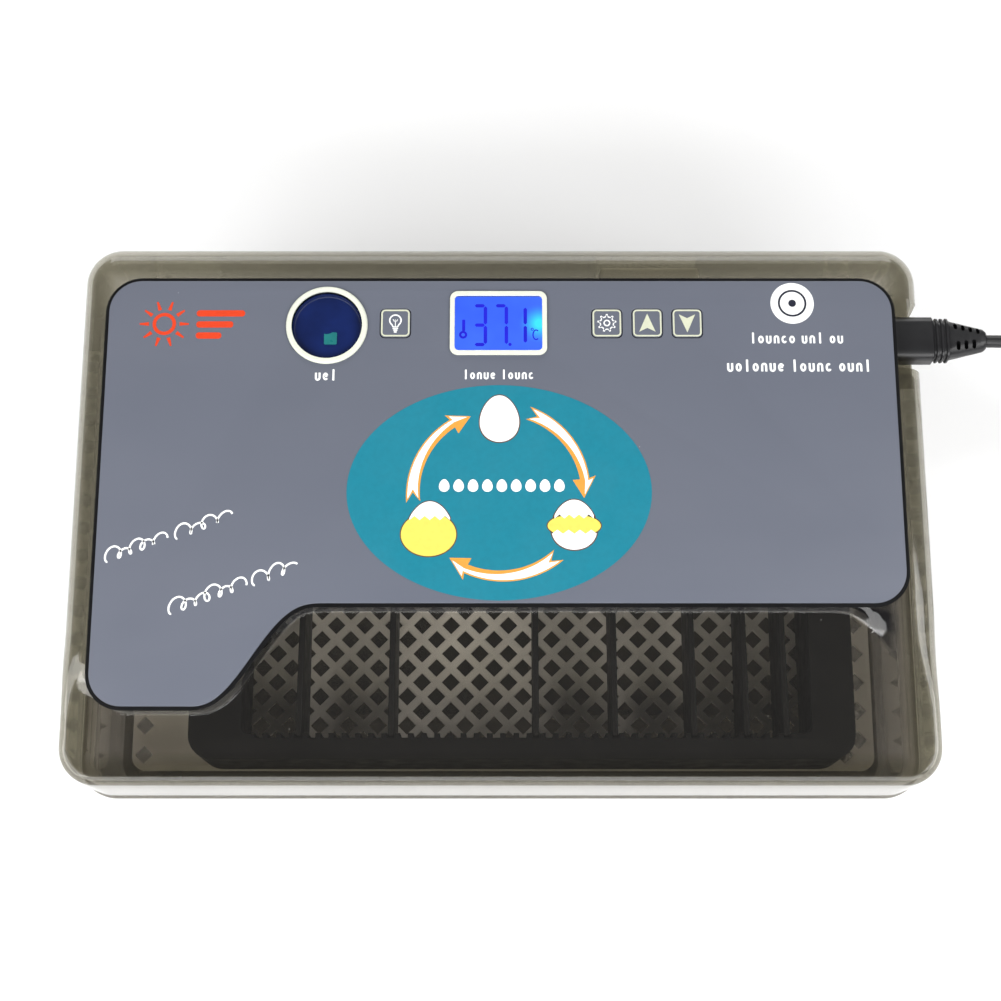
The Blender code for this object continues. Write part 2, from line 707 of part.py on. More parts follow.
def lid_height(x, y):
    """Height of the lid's outside over a point of its plan."""
    top_y = step_top_y(x)
    bottom_y = step_bottom_y(x)
    z = PLATEAU_Z - (PLATEAU_Z - WINDOW_Z) * ease((top_y - y) / (top_y - bottom_y))
    fillet = fillet_at(y)
    inward = max(0.0, min(fillet, outline_distance(x, y)))
    z -= fillet - math.sqrt(fillet ** 2 - (fillet - inward) ** 2)
    into_notch = min(x - NOTCH_X, y - NOTCH_Y[0], NOTCH_Y[1] - y)
    return z + (NOTCH_Z - z) * clamp(into_notch / NOTCH_DRAFT)


def window_loops():
    """Openings through the plateau: display, candling lamp and key stems."""
    loops = [rectangle((LCD_AT[0] - LCD_GLASS[0] / 2 - FIT_GAP, LCD_AT[1] - LCD_GLASS[1] / 2 - FIT_GAP),
                       (LCD_AT[0] + LCD_GLASS[0] / 2 + FIT_GAP, LCD_AT[1] + LCD_GLASS[1] / 2 + FIT_GAP))]
    loops.append(circle(CANDLER_AT, CANDLER_LENS_R + FIT_GAP, 24))
    return loops


def inside_window(x, y):
    """Whether a point lies in one of the lid's openings."""
    if abs(x - LCD_AT[0]) < LCD_GLASS[0] / 2 and abs(y - LCD_AT[1]) < LCD_GLASS[1] / 2:
        return True
    if math.hypot(x - CANDLER_AT[0], y - CANDLER_AT[1]) < CANDLER_LENS_R:
        return True
    return any(math.hypot(x - key_x, y - KEY_Y) < 2.2 * mm for _, key_x in KEYS)


def lid_plan():
    """Plan of the lid's outside as points and lines: rings of the rounded edge, the step's two
    edges, the notch and the openings."""
    points = []
    lines = []

    def add(path, closed):
        start = len(points)
        points.extend(Vector(p) for p in path)
        lines.extend((start + i, start + i + 1) for i in range(len(path) - 1))
        if closed:
            lines.append((start + len(path) - 1, start))

    for inward in (0, 0.4 * mm, 1.3 * mm, 2.6 * mm, 4.6 * mm, 7.4 * mm, LID_FILLET):
        add(rounded_rect(LID_X - 2 * inward, LID_Y - 2 * inward, LID_CORNER - inward, steps=6), True)
    end = LID_X / 2
    across = [-end, -162 * mm, -158 * mm, -153 * mm, -147 * mm, -142 * mm, LEFT_BLEND_X]
    across += [S_START_X + (S_END_X - S_START_X) * i / 14 for i in range(15)]
    across += [RIGHT_BLEND_X, 132 * mm, 138 * mm, 144 * mm, 150 * mm, 155 * mm, 160 * mm, end]
    add([(x, step_top_y(x)) for x in across], False)
    add([(x, step_bottom_y(x)) for x in across], False)
    for share in (0.3, 0.5, 0.7):
        for side in ((-1, -LEFT_BLEND_X), (1, RIGHT_BLEND_X)):
            path = []
            for i in range(6):
                x = side[0] * (side[1] + (end - side[1]) * (0.25 + 0.75 * i / 5))
                path.append((x, step_top_y(x) + share * (step_bottom_y(x) - step_top_y(x))))
            add(path, False)
    for inward in (0, NOTCH_DRAFT):
        add([(end, NOTCH_Y[0] + inward), (NOTCH_X + inward, NOTCH_Y[0] + inward),
             (NOTCH_X + inward, NOTCH_Y[1] - inward), (end, NOTCH_Y[1] - inward)], False)
    for loop in window_loops():
        add(loop, True)
    for _, key_x in KEYS:
        add(circle((key_x, KEY_Y), 2.5 * mm, 10), True)
    return points, lines


def make_lid_shell(lid):
    """Smoky lid: a surface over its plan, drawn down to the skirt and given its wall."""
    points, lines = lid_plan()
    places, _, faces, _, _, _ = delaunay_2d_cdt(points, lines, [], 0, 1e-7)
    work = bmesh.new()
    verts = [work.verts.new((p.x, p.y, lid_height(p.x, p.y))) for p in places]
    for face in faces:
        centre = sum((places[i] for i in face), Vector((0, 0))) / len(face)
        if not inside_window(*centre):
            work.faces.new([verts[i] for i in face])
    rim = [e for e in work.edges if e.is_boundary
           and all(outline_distance(v.co.x, v.co.y) < 0.01 * mm for v in e.verts)]
    drawn = bmesh.ops.extrude_edge_only(work, edges=rim)["geom"]
    for item in drawn:
        if isinstance(item, bmesh.types.BMVert):
            item.co.z = LID_SKIRT_Z
    bmesh.ops.recalc_face_normals(work, faces=work.faces)
    mesh = bpy.data.meshes.new("lid_shell")
    work.to_mesh(mesh)
    work.free()
    smooth(mesh)
    shell = add_object("lid_shell", mesh, "smoky_plastic", body=lid)
    wall = shell.modifiers.new("wall", "SOLIDIFY")
    wall.thickness = LID_WALL
    wall.offset = -1
    wall.use_even_offset = True
    wall.use_quality_normals = True
    width, depth = INLET_SIZE[1] / 2 + FIT_GAP, INLET_SIZE[2] / 2 + FIT_GAP
    boolean(shell, box("inlet_hole", (140 * mm, PLUG_Y - width, PLUG_Z - depth),
                       (NOTCH_X + 2 * mm, PLUG_Y + width, PLUG_Z + depth), None), "DIFFERENCE")


def make_panel(lid):
    """Grey panel film carrier on the plateau."""
    loops = [s_outline(PANEL_X, PANEL_BACK_Y, 0.8 * mm, PANEL_CORNER, PANEL_CORNER)] + window_loops()
    half = KEY_SIZE / 2 + FIT_GAP
    for _, key_x in KEYS:
        loops.append(rectangle((key_x - half, KEY_Y - half), (key_x + half, KEY_Y + half)))
    plate("control_panel", loops, PANEL_THICKNESS, "panel_film", (0, 0, PANEL_Z), body=lid)


def make_keys():
    """Four sprung keys, each on its own press axis."""
    for name, key_x in KEYS:
        top = PANEL_TOP_Z + 0.3 * mm
        bottom = PLATEAU_Z + FIT_GAP + KEY_TRAVEL + 0.05 * mm
        body = axis_empty(name + "_axis", (key_x, KEY_Y, top))
        cap = rounded_rect(KEY_SIZE, KEY_SIZE, 1.6 * mm, steps=3)
        key = plate(name, [cap], top - bottom, "panel_film", (key_x, KEY_Y, bottom), body=body)
        stem = cylinder(name + "_stem", 1.8 * mm, (key_x, KEY_Y, KEY_STEM_Z),
                        (key_x, KEY_Y, bottom + 0.2 * mm), steps=10)
        boolean(key, stem, "UNION")


def make_housing(lid):
    """Shallow black housing under the plateau, open upwards, with its board and screws."""
    cut = (126 * mm, PLUG_Y + 10.5 * mm, PLUG_Y - 10.5 * mm)
    wall = 2 * mm
    outer = s_outline(HOUSING_X, HOUSING_BACK_Y, 2.4 * mm, 6 * mm, 18 * mm, cut)
    inner_cut = (cut[0] - wall, cut[1] + wall, cut[2] - wall)
    inner = s_outline(HOUSING_X - wall, HOUSING_BACK_Y - wall, 2.4 * mm + wall, 4 * mm, 16 * mm, inner_cut)
    housing = loft("control_housing", [(outer, HOUSING_Z), (outer, HOUSING_TOP_Z),
                                       (inner, HOUSING_TOP_Z), (inner, HOUSING_Z + HOUSING_FLOOR)],
                   "black_plastic", body=lid)
    posts = []
    for x in (-80 * mm, -26 * mm, 26 * mm, 84 * mm):
        for y in (51 * mm, 83 * mm):
            posts.append(box("post", (x - 2 * mm, y - 2 * mm, HOUSING_Z + 1 * mm),
                             (x + 2 * mm, y + 2 * mm, PCB_Z - FIT_GAP), None))
    boolean(housing, join_meshes("board_posts", posts), "UNION")
    screw_places = ((-138, 78), (-138, -62), (112, -28), (112, 40))
    holes = []
    for x, y in screw_places:
        holes.append(cylinder("screw_hole", 1.7 * mm, (x * mm, y * mm, HOUSING_Z - 1 * mm),
                              (x * mm, y * mm, HOUSING_Z + HOUSING_FLOOR + 1 * mm), steps=10))
    boolean(housing, join_meshes("screw_holes", holes), "DIFFERENCE")
    profile = [(0, 6.5 * mm), (1.3 * mm, 6.5 * mm), (1.3 * mm, 2.2 * mm), (3 * mm, 2.2 * mm),
               (3 * mm, 0.6 * mm), (2.2 * mm, 0), (0, 0)]
    for i, (x, y) in enumerate(screw_places):
        place = (x * mm, y * mm, HOUSING_Z - FIT_GAP - 2.2 * mm)
        turned(f"housing_screw_{i + 1}", profile, "steel", place, body=lid, steps=12)


def make_electronics(lid):
    """Circuit board with the display, the candling lamp, the key switches and the power supply."""
    board = rounded_rect(180 * mm, 38 * mm, 2 * mm, (2 * mm, 67 * mm), 2)
    plate("control_board", [board], PCB_THICKNESS, "circuit_board", (0, 0, PCB_Z), body=lid)
    on_board = PCB_TOP_Z + FIT_GAP
    body_outline = rounded_rect(41 * mm, 28 * mm, 1 * mm, LCD_AT, 2)
    glass_outline = rounded_rect(*LCD_GLASS, 1 * mm, LCD_AT, 2)
    loft("lcd_module", [(body_outline, on_board), (body_outline, LCD_SHOULDER_Z),
                        (glass_outline, LCD_SHOULDER_Z), (glass_outline, PANEL_TOP_Z - 0.2 * mm)],
         "display", body=lid)
    frame_outer = rounded_rect(*LCD_FRAME, 3 * mm, LCD_AT, 4)
    frame_inner = rounded_rect(LCD_GLASS[0] + 0.6 * mm, LCD_GLASS[1] + 0.6 * mm, 1.2 * mm, LCD_AT, 4)
    plate("lcd_frame", [frame_outer, frame_inner], 0.5 * mm, "ivory_plastic",
          (0, 0, PANEL_TOP_Z + FIT_GAP), body=lid)
    ring = [(CANDLER_LENS_R + 0.6 * mm, 1.0 * mm), (CANDLER_RING_R - 0.5 * mm, 1.0 * mm),
            (CANDLER_RING_R, 0.5 * mm), (CANDLER_RING_R, 0), (CANDLER_LENS_R + 0.6 * mm, 0)]
    turned("candler_ring", ring, "ivory_plastic", (*CANDLER_AT, PANEL_TOP_Z + FIT_GAP), body=lid,
           steps=32, closed=True)
    lens = [(0, 2.6 * mm), (CANDLER_LENS_R * 0.6, 2.3 * mm), (CANDLER_LENS_R - 0.3 * mm, 1.5 * mm),
            (CANDLER_LENS_R - 0.3 * mm, 0), (0, 0)]
    turned("candler_lens", lens, "lens", (*CANDLER_AT, PLATEAU_Z - 0.8 * mm), body=lid, steps=32)
    led_x, led_y = CANDLER_AT[0] + 1.2 * mm, CANDLER_AT[1] - 3 * mm
    box("candler_led", (led_x - 2.4 * mm, led_y - 2.4 * mm, on_board),
        (led_x + 2.4 * mm, led_y + 2.4 * mm, LED_TOP_Z), "led", lid, 0.4 * mm, 1)
    for i, (_, key_x) in enumerate(KEYS):
        box(f"key_switch_{i + 1}", (key_x - 3 * mm, KEY_Y - 3 * mm, on_board),
            (key_x + 3 * mm, KEY_Y + 3 * mm, SWITCH_TOP_Z), "black_plastic", lid, 0.3 * mm, 1)
    box("power_supply", (88 * mm, 0 * mm, HOUSING_Z + HOUSING_FLOOR + FIT_GAP),
        (120 * mm, 38 * mm, SUPPLY_TOP_Z), "gear_plastic", lid, 1 * mm)


def make_air_system(lid):
    """Fan, its guard, the heating ring with two clips, and the temperature probe."""
    fan_x, fan_y = FAN_AT
    low_z = FAN_TOP_Z - FAN_DEPTH
    outer = rounded_rect(FAN_SIZE, FAN_SIZE, 5 * mm, steps=3)
    frame = plate("fan_frame", [outer, circle((0, 0), FAN_BORE_R, 32)], FAN_DEPTH, "black_plastic",
                  (fan_x, fan_y, low_z), body=lid)
    strut_z = FAN_TOP_Z - 2.2 * mm
    struts = [cylinder("hub_mount", 11 * mm, (fan_x, fan_y, strut_z),
                       (fan_x, fan_y, FAN_TOP_Z - 0.1 * mm), steps=20)]
    for size_x, size_y in ((29, 1.5), (1.5, 29)):
        struts.append(box("strut", (fan_x - size_x * mm, fan_y - size_y * mm, strut_z + 0.3 * mm),
                          (fan_x + size_x * mm, fan_y + size_y * mm, FAN_TOP_Z - 0.4 * mm), None))
    for strut in struts:
        boolean(frame, strut, "UNION")

    axis = axis_empty("fan_axis", (fan_x, fan_y, low_z))
    hub_low, hub_high = low_z + 1.0 * mm, strut_z - 0.5 * mm
    impeller = cylinder("fan_impeller", 12 * mm, (fan_x, fan_y, hub_low), (fan_x, fan_y, hub_high),
                        "black_plastic", axis, 28)
    blades = []
    for i in range(7):
        angle = math.tau * i / 7
        blade = box("blade", (-8.5 * mm, -5.5 * mm, -0.7 * mm), (8.5 * mm, 5.5 * mm, 0.7 * mm), None)
        blade.rotation_euler = (math.radians(38), 0, angle)
        reach = 18.5 * mm
        blade.location = (fan_x + reach * math.cos(angle), fan_y + reach * math.sin(angle),
                          (hub_low + hub_high) / 2)
        blades.append(blade)
    boolean(impeller, join_meshes("fan_blades", blades), "UNION")

    loops = [rounded_rect(FAN_SIZE, FAN_SIZE, 5 * mm, steps=3)]
    for inner_r, outer_r in ((9 * mm, 16 * mm), (18 * mm, 26 * mm)):
        for quarter in range(4):
            start, end = quarter * 90 + 6, quarter * 90 + 84
            loops.append(arc((0, 0), outer_r, start, end, 7) + arc((0, 0), inner_r, end, start, 5))
    guard_thickness = 1.8 * mm
    plate("fan_guard", loops, guard_thickness, "black_plastic",
          (fan_x, fan_y, low_z - FIT_GAP - guard_thickness), body=lid)

    ring = [(HEATER_R + HEATER_WIRE_R * math.sin(math.tau * i / 8),
             HEATER_WIRE_R * math.cos(math.tau * i / 8)) for i in range(8)]
    turned("heater_ring", ring, "steel", (fan_x, fan_y, HEATER_Z), body=lid, steps=48, closed=True)
    for side, sign in (("left", -1), ("right", 1)):
        x = fan_x + sign * HEATER_R
        clip = box(f"heater_clip_{side}", (x - 4.5 * mm, fan_y - 3 * mm, HEATER_Z - 4.5 * mm),
                   (x + 4.5 * mm, fan_y + 3 * mm, HOUSING_Z - FIT_GAP), "gear_plastic", lid)
        hole = cylinder("clip_hole", HEATER_WIRE_R + 0.6 * mm, (x, fan_y - 5 * mm, HEATER_Z),
                        (x, fan_y + 5 * mm, HEATER_Z), steps=14, axis="Y")
        boolean(clip, hole, "DIFFERENCE")
    probe = [(0, 18 * mm), (4 * mm, 18 * mm), (4 * mm, 16 * mm), (2.5 * mm, 16 * mm),
             (2.5 * mm, 2 * mm), (1.6 * mm, 0.5 * mm), (0, 0)]
    turned("temperature_probe", probe, "steel", (-84 * mm, 18 * mm, HOUSING_Z - FIT_GAP - 18 * mm),
           body=lid, steps=16)


# ---------------------------------------------------------------- mains lead

def figure_eight(width, height, steps=6):
    """Outline of the two-pole connector: a flat-sided oval in the y-z plane of the lead."""
    radius = height / 2
    reach = width / 2 - radius
    return arc((reach, 0), radius, -90, 90, steps) + arc((-reach, 0), radius, 90, 270, steps)


def along_x(obj):
    """Turn a loft made along +Z so that it runs along +X, its width along Y."""
    obj.rotation_euler = (math.pi / 2, 0, math.pi / 2)


def make_inlet(lid):
    """Two-pole mains inlet behind the notch's wall."""
    length, width, height = INLET_SIZE
    front = NOTCH_X + 0.4 * mm
    inlet = box("power_inlet", (front - length, PLUG_Y - width / 2, PLUG_Z - height / 2),
                (front, PLUG_Y + width / 2, PLUG_Z + height / 2), "black_plastic", lid)
    socket = figure_eight(14.4 * mm, 8.4 * mm)
    hollow = loft("inlet_hollow", [(socket, 0), (socket, 14 * mm)], None, (front - 11 * mm, PLUG_Y, PLUG_Z))
    along_x(hollow)
    boolean(inlet, hollow, "DIFFERENCE")


def make_connector(lid):
    """Moulded connector with its grip rings and tapering strain relief."""
    start = NOTCH_X + 0.4 * mm
    nose = figure_eight(13.4 * mm, 7.4 * mm)
    grip = figure_eight(18.2 * mm, 11 * mm)
    sections = [(nose, -10 * mm), (nose, 0.4 * mm), (grip, 0.4 * mm), (grip, 20 * mm)]
    for i in range(3):
        z = 20.5 * mm + i * 1.7 * mm
        low = figure_eight(16.4 * mm, 9.6 * mm)
        high = figure_eight(17.6 * mm, 10.6 * mm)
        sections += [(low, z), (low, z + 0.6 * mm), (high, z + 0.8 * mm), (high, z + 1.5 * mm)]
    end = CONNECTOR_END_X - start
    sections += [(figure_eight(15.4 * mm, 9.4 * mm), 27 * mm), (figure_eight(8.6 * mm, 7 * mm), end)]
    connector = loft("power_connector", sections, "cord_rubber", (start, PLUG_Y, PLUG_Z), lid)
    along_x(connector)


def make_cord():
    """Lead from the connector to the table, its coil, tail, tie and mains plug."""
    tube("cord_run", smooth_route(CORD_ROUTE, 11 * mm), CORD_R, "cord_rubber")
    inner = COIL_MEAN_R - COIL_HALF_WIDTH
    outer = COIL_MEAN_R + COIL_HALF_WIDTH
    chamfer = 1.8 * mm
    ring = [(inner, COIL_HEIGHT - chamfer), (inner + chamfer, COIL_HEIGHT), (outer - chamfer, COIL_HEIGHT),
            (outer, COIL_HEIGHT - chamfer), (outer, chamfer), (outer - chamfer, 0.1 * mm),
            (inner + chamfer, 0.1 * mm), (inner, chamfer)]
    coil = turned("cord_coil", ring, "cord_rubber", (*COIL_AT, 0), steps=36, closed=True)
    clear = CORD_R + FIT_GAP
    pockets = [
        box("run_pocket", (COIL_AT[0] + COIL_START_R - 2 * clear, COIL_AT[1] + 1.2 * mm, -1 * mm),
            (COIL_AT[0] + outer + 4 * mm, COIL_AT[1] + 26 * mm, COIL_HEIGHT + 1 * mm), None),
        box("tail_pocket", (COIL_AT[0] + COIL_EXIT_R - 2 * clear, COIL_AT[1] - 28 * mm, 4.2 * mm),
            (COIL_AT[0] + outer + 4 * mm, COIL_AT[1] - 1.2 * mm, COIL_HEIGHT + 3 * mm), None),
    ]
    for pocket in pockets:
        boolean(coil, pocket, "DIFFERENCE")
    tube("cord_tail", smooth_route(TAIL_ROUTE, 9 * mm), CORD_R, "cord_rubber")
    tie_x = COIL_AT[0] - COIL_MEAN_R
    half = COIL_HALF_WIDTH + FIT_GAP
    wall = 1.2 * mm
    inside_z = COIL_HEIGHT + FIT_GAP
    strap = [(-half - wall, 0), (-half, 0), (-half, inside_z), (half, inside_z), (half, 0),
             (half + wall, 0), (half + wall, inside_z + wall), (-half - wall, inside_z + wall)]
    plate("cord_tie", [strap], TIE_WIDTH, "rubber", (tie_x, COIL_AT[1] + TIE_WIDTH / 2, 0),
          (math.pi / 2, 0, 0))

    plug_x, plug_y = MAINS_PLUG_AT
    relief = figure_eight(7.4 * mm, 7 * mm)
    neck = figure_eight(13 * mm, 10 * mm)
    wide = figure_eight(26 * mm, 13.4 * mm)
    full = figure_eight(35 * mm, 13.4 * mm)
    sections = [(relief, -8 * mm), (neck, 6 * mm), (wide, 15 * mm), (full, 26 * mm), (full, 35 * mm)]
    plug = loft("mains_plug", sections, "cord_rubber", (plug_x, plug_y, MAINS_PLUG_Z))
    plug.rotation_euler = (math.pi / 2, 0, 0)
    pin = [(0, 19 * mm), (1.4 * mm, 19 * mm), (2.0 * mm, 18 * mm), (2.0 * mm, 0), (0, 0)]
    for i, offset in enumerate((-9.5 * mm, 9.5 * mm)):
        place = (plug_x + offset, plug_y - 35 * mm - FIT_GAP, MAINS_PLUG_Z)
        turned(f"plug_pin_{i + 1}", pin, "steel", place, (math.pi / 2, 0, 0), steps=12)


# ---------------------------------------------------------------- assembly

def main():
    """Build every sub-part."""
    lid = axis_empty("lid_axis", (0, 0, LID_SKIRT_Z))
    tray = axis_empty("egg_frame_axis", ((FRAME_LEFT + FRAME_RIGHT) / 2, 0, FRAME_Z))
    make_base()
    make_feet()
    make_mesh_floor()
    make_egg_frame(tray)
    make_dividers()
    make_turner(lid, tray)
    make_lid_shell(lid)
    make_panel(lid)
    make_keys()
    make_housing(lid)
    make_electronics(lid)
    make_air_system(lid)
    make_inlet(lid)
    make_connector(lid)
    make_cord()


main()
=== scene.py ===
"""Looks of the tabletop egg incubator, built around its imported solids.

Everything is in metres in the solids' own frame: the origin is on the table under the middle of
the tub, +X to the right, +Y to the back, +Z up. Outlines are written in millimetres and scaled.
"""
import math

import bmesh
import bpy
from mathutils import Matrix, Vector
from mathutils.geometry import delaunay_2d_cdt


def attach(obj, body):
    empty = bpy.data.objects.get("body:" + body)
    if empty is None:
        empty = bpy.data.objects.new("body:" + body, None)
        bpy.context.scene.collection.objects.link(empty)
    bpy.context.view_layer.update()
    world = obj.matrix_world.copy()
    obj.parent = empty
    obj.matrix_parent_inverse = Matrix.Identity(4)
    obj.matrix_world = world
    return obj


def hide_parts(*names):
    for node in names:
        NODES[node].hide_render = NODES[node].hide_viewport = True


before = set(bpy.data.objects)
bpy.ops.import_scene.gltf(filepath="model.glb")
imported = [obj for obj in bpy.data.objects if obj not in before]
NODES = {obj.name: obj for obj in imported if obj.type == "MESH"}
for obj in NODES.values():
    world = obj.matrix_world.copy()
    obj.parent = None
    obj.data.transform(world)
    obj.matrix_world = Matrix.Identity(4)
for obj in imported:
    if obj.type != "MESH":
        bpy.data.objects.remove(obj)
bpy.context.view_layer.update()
mm = 0.001

# Case, as in the solids (mm)
LID_X, LID_Y = 330, 213
LID_CORNER = 14.5
LID_FILLET, FRONT_FILLET = 10, 4
FILLET_CHANGE_Y = (-45, -85)
SKIRT_Z = 92
PLATEAU_Z = 141
WINDOW_Z = 136
LID_WALL = 2
LOBE_Y = -79.1
EDGE_Y = -40.1
S_START_X, S_END_X = -116.5, -67.5
STEP_RUN, S_EXTRA_RUN = 1.8, 3.2
RIGHT_BLEND_X, LEFT_BLEND_X = 126, -138
SIDE_BLEND_Y = -84.4
LEFT_SWEEP, RIGHT_SWEEP = 26, 6
NOTCH_X, NOTCH_Y, NOTCH_Z, NOTCH_DRAFT = 150.5, (54.5, 83.5), 120, 0.8
BASE_X, BASE_Y, BASE_CORNER, BASE_DRAFT, BASE_WALL = 312, 195, 9, 6, 2.3
BASE_BOTTOM_Z, BASE_FLOOR_Z, LEDGE_Z, LEDGE_TOP_Z, LIP_Z = 3, 5.5, 88, 91.7, 96
PILLARS, PILLAR_SIZE, PILLAR_HEIGHT = ((-140, 84), (0, 89), (140, 84)), 7, 48.2
RIB_X, RIB_SIZE, RIB_HEIGHT = 72, (120, 130), 13.6
STANDING_Z = BASE_FLOOR_Z - 0.1

# Panel and what shows on it (mm)
PANEL_X, PANEL_BACK_Y, PANEL_CORNER = 153.3, 90, 12.5
PANEL_LOW_Z, PANEL_TOP_Z = 141.3, 142.2
PRINT_THICKNESS = 0.05
PRINT_Z = PANEL_TOP_Z + 0.02
LCD_AT, LCD_GLASS = (-0.8, 72.3), (34, 22.4)
CANDLER_AT, CANDLER_R, CANDLER_LENS_R = (-67.9, 71.5), 16, 13.7
DIGITS_Z, CHIP_Z = 142.01, 141.95
KEY_SIZE, KEY_Y, KEY_LOW_Z, KEY_HEIGHT = 11.6, 72.3, 141.75, 0.72
KEY_X = {"key_light": -41.1, "key_set": 41.6, "key_up": 57.4, "key_down": 73.0}

# Egg frame and floor (mm)
FRAME_X, FRAME_Y = (-124.2, 141.2), 91.5
BAY_X, BAY_Y = (-103.1, 123.8), 81
FRAME_Z, FRAME_HEIGHT = 57, 33
SLOT_PITCH, SLOT_COUNT, FIRST_SLOT_X, SLOT_WIDTH, SLOT_DEPTH = 5.25, 41, 113.9, 3.0, 1.8
DIVIDER_SLOTS = (37, 30, 19, 13, 7, 3, 0)
DIVIDER_THICKNESS = 2.4
MESH_Z, MESH_THICKNESS = 54, 2
LATTICE_PITCH, LATTICE_BAR = 12.1, 3.1
LATTICE_AT = (63.9, -55.0)
SOLID_BAND_X = (-138.5, -118.0)

# Mains lead (mm); the route is the one of the solids
CORD_R = 2.5
PLUG_Y, PLUG_Z = 69, 131
CORD_ROUTE = (
    (192.3, 69.0, 130.6), (205, 69.0, 129.6), (219, 69.0, 124.4), (231, 69.0, 113.5),
    (240, 68.9, 98.0), (246.5, 68.7, 79.0), (251.5, 68.4, 58.0), (256.5, 67.8, 38.0),
    (264, 67.0, 19.5), (276, 65.5, 7.2), (289, 62.0, 2.6), (300.5, 55.0, 2.6), (307.5, 44.0, 2.6),
    (310.2, 32.0, 2.6), (310.5, 21.5, 2.6),
)
TAIL_ROUTE = (
    (307.9, 18.5, 7.4), (307.8, 10.0, 7.2), (307.0, 1.0, 7.0), (305.6, -8.0, 7.0),
    (304.4, -17.0, 7.0), (304.0, -25.7, 7.0),
)
TABLE_CORD_Z = 2.6
COIL_AT = (278, 20)
TIE_X = 250.5
LAYER_Z = (2.6, 7.6)
MAINS_PLUG_AT = (304, -34, 7)


# ---------------------------------------------------------------- small helpers

def clamp(value):
    """Limit to the range from 0 to 1."""
    return max(0.0, min(1.0, value))


def between(low, high, share):
    """Number part of the way from one to another."""
    return low + (high - low) * share


def ease(value):
    """Smooth ramp from 0 to 1 with flat ends."""
    value = clamp(value)
    return value * value * value * (value * (6 * value - 15) + 10)


def arc(centre, radius, start, end, steps):
    """Points along an arc, angles in degrees."""
    points = []
    for i in range(steps + 1):
        angle = math.radians(between(start, end, i / steps))
        points.append((centre[0] + radius * math.cos(angle), centre[1] + radius * math.sin(angle)))
    return points


def circle(centre, radius, steps=48):
    """Closed circle."""
    return arc(centre, radius, 0, 360 - 360 / steps, steps - 1)


def ellipse(centre, half_x, half_y, steps=96):
    """Closed ellipse."""
    return [(centre[0] + half_x * x, centre[1] + half_y * y) for x, y in circle((0, 0), 1, steps)]


def rounded_rect(size_x, size_y, radius, centre=(0, 0), steps=8):
    """Closed rounded rectangle."""
    points = []
    for quadrant, (sign_x, sign_y) in enumerate(((1, 1), (-1, 1), (-1, -1), (1, -1))):
        corner = (centre[0] + sign_x * (size_x / 2 - radius), centre[1] + sign_y * (size_y / 2 - radius))
        points += arc(corner, radius, 90 * quadrant, 90 * quadrant + 90, steps)
    return points


def resample(loop, spacing):
    """Closed loop with extra points along its long sides."""
    points = []
    for p, q in zip(loop, loop[1:] + loop[:1]):
        length = math.dist(p, q)
        pieces = max(1, round(length / spacing))
        for i in range(pieces):
            points.append((p[0] + (q[0] - p[0]) * i / pieces, p[1] + (q[1] - p[1]) * i / pieces))
    return points


def stroke(path, width, taper=1.0):
    """Closed outline of a line of points drawn with a width that may taper to its end."""
    left, right = [], []
    count = len(path)
    for i, (x, y) in enumerate(path):
        ahead = path[min(i + 1, count - 1)]
        behind = path[max(i - 1, 0)]
        dx, dy = ahead[0] - behind[0], ahead[1] - behind[1]
        length = math.hypot(dx, dy)
        half = width / 2 * between(1, taper, i / (count - 1))
        left.append((x - dy / length * half, y + dx / length * half))
        right.append((x + dy / length * half, y - dx / length * half))
    return left + right[::-1]


def smooth_path(points, steps=12):
    """Points along a smooth curve through the given ones."""
    knots = [Vector(p) for p in points]
    knots = [2 * knots[0] - knots[1]] + knots + [2 * knots[-1] - knots[-2]]
    fine = []
    for a, b, c, d in zip(knots, knots[1:], knots[2:], knots[3:]):
        for i in range(steps):
            t = i / steps
            fine.append(0.5 * (2 * b + (c - a) * t + (2 * a - 5 * b + 4 * c - d) * t * t
                               + (3 * b - a - 3 * c + d) * t * t * t))
    fine.append(knots[-2])
    return fine


# ---------------------------------------------------------------- materials

def new_material(name):
    """A node material, its tree and its Principled shader."""
    made = bpy.data.materials.new(name)
    made.use_nodes = True
    return made, made.node_tree, made.node_tree.nodes["Principled BSDF"]


def feed(tree, socket, value):
    """Link a socket to another one, or set its value."""
    if isinstance(value, bpy.types.NodeSocket):
        tree.links.new(value, socket)
    else:
        socket.default_value = value


def set_inputs(tree, node, **inputs):
    """Set or link some of a node's inputs, named with _ for each space."""
    for key, value in inputs.items():
        feed(tree, node.inputs[key.replace("_", " ")], value)
    return node


def add_node(tree, kind, **inputs):
    """A node with some of its inputs set or linked."""
    return set_inputs(tree, tree.nodes.new(kind), **inputs)


def place(tree, scale=(1, 1, 1)):
    """Coordinates fixed to the piece, in metres, stretched along the axes."""
    source = tree.nodes.new("ShaderNodeTexCoord")
    mapping = add_node(tree, "ShaderNodeMapping", Vector=source.outputs["Object"], Scale=scale)
    return mapping.outputs["Vector"]


def grain(tree, scale, detail=2.0, stretch=(1, 1, 1)):
    """Noise value from 0 to 1."""
    node = add_node(tree, "ShaderNodeTexNoise", Vector=place(tree, stretch), Scale=scale, Detail=detail)
    return node.outputs["Fac"]


def rescale(tree, value, from_low, from_high, to_low=0, to_high=1):
    """A value moved from one range to another, with its ends held."""
    node = add_node(tree, "ShaderNodeMapRange", Value=value, From_Min=from_low, From_Max=from_high,
                    To_Min=to_low, To_Max=to_high)
    return node.outputs["Result"]


def cloud(tree, scale, detail, low=0, high=1, stretch=(1, 1, 1)):
    """Noise with its middle range spread between two values."""
    return rescale(tree, grain(tree, scale, detail, stretch), 0.3, 0.7, low, high)


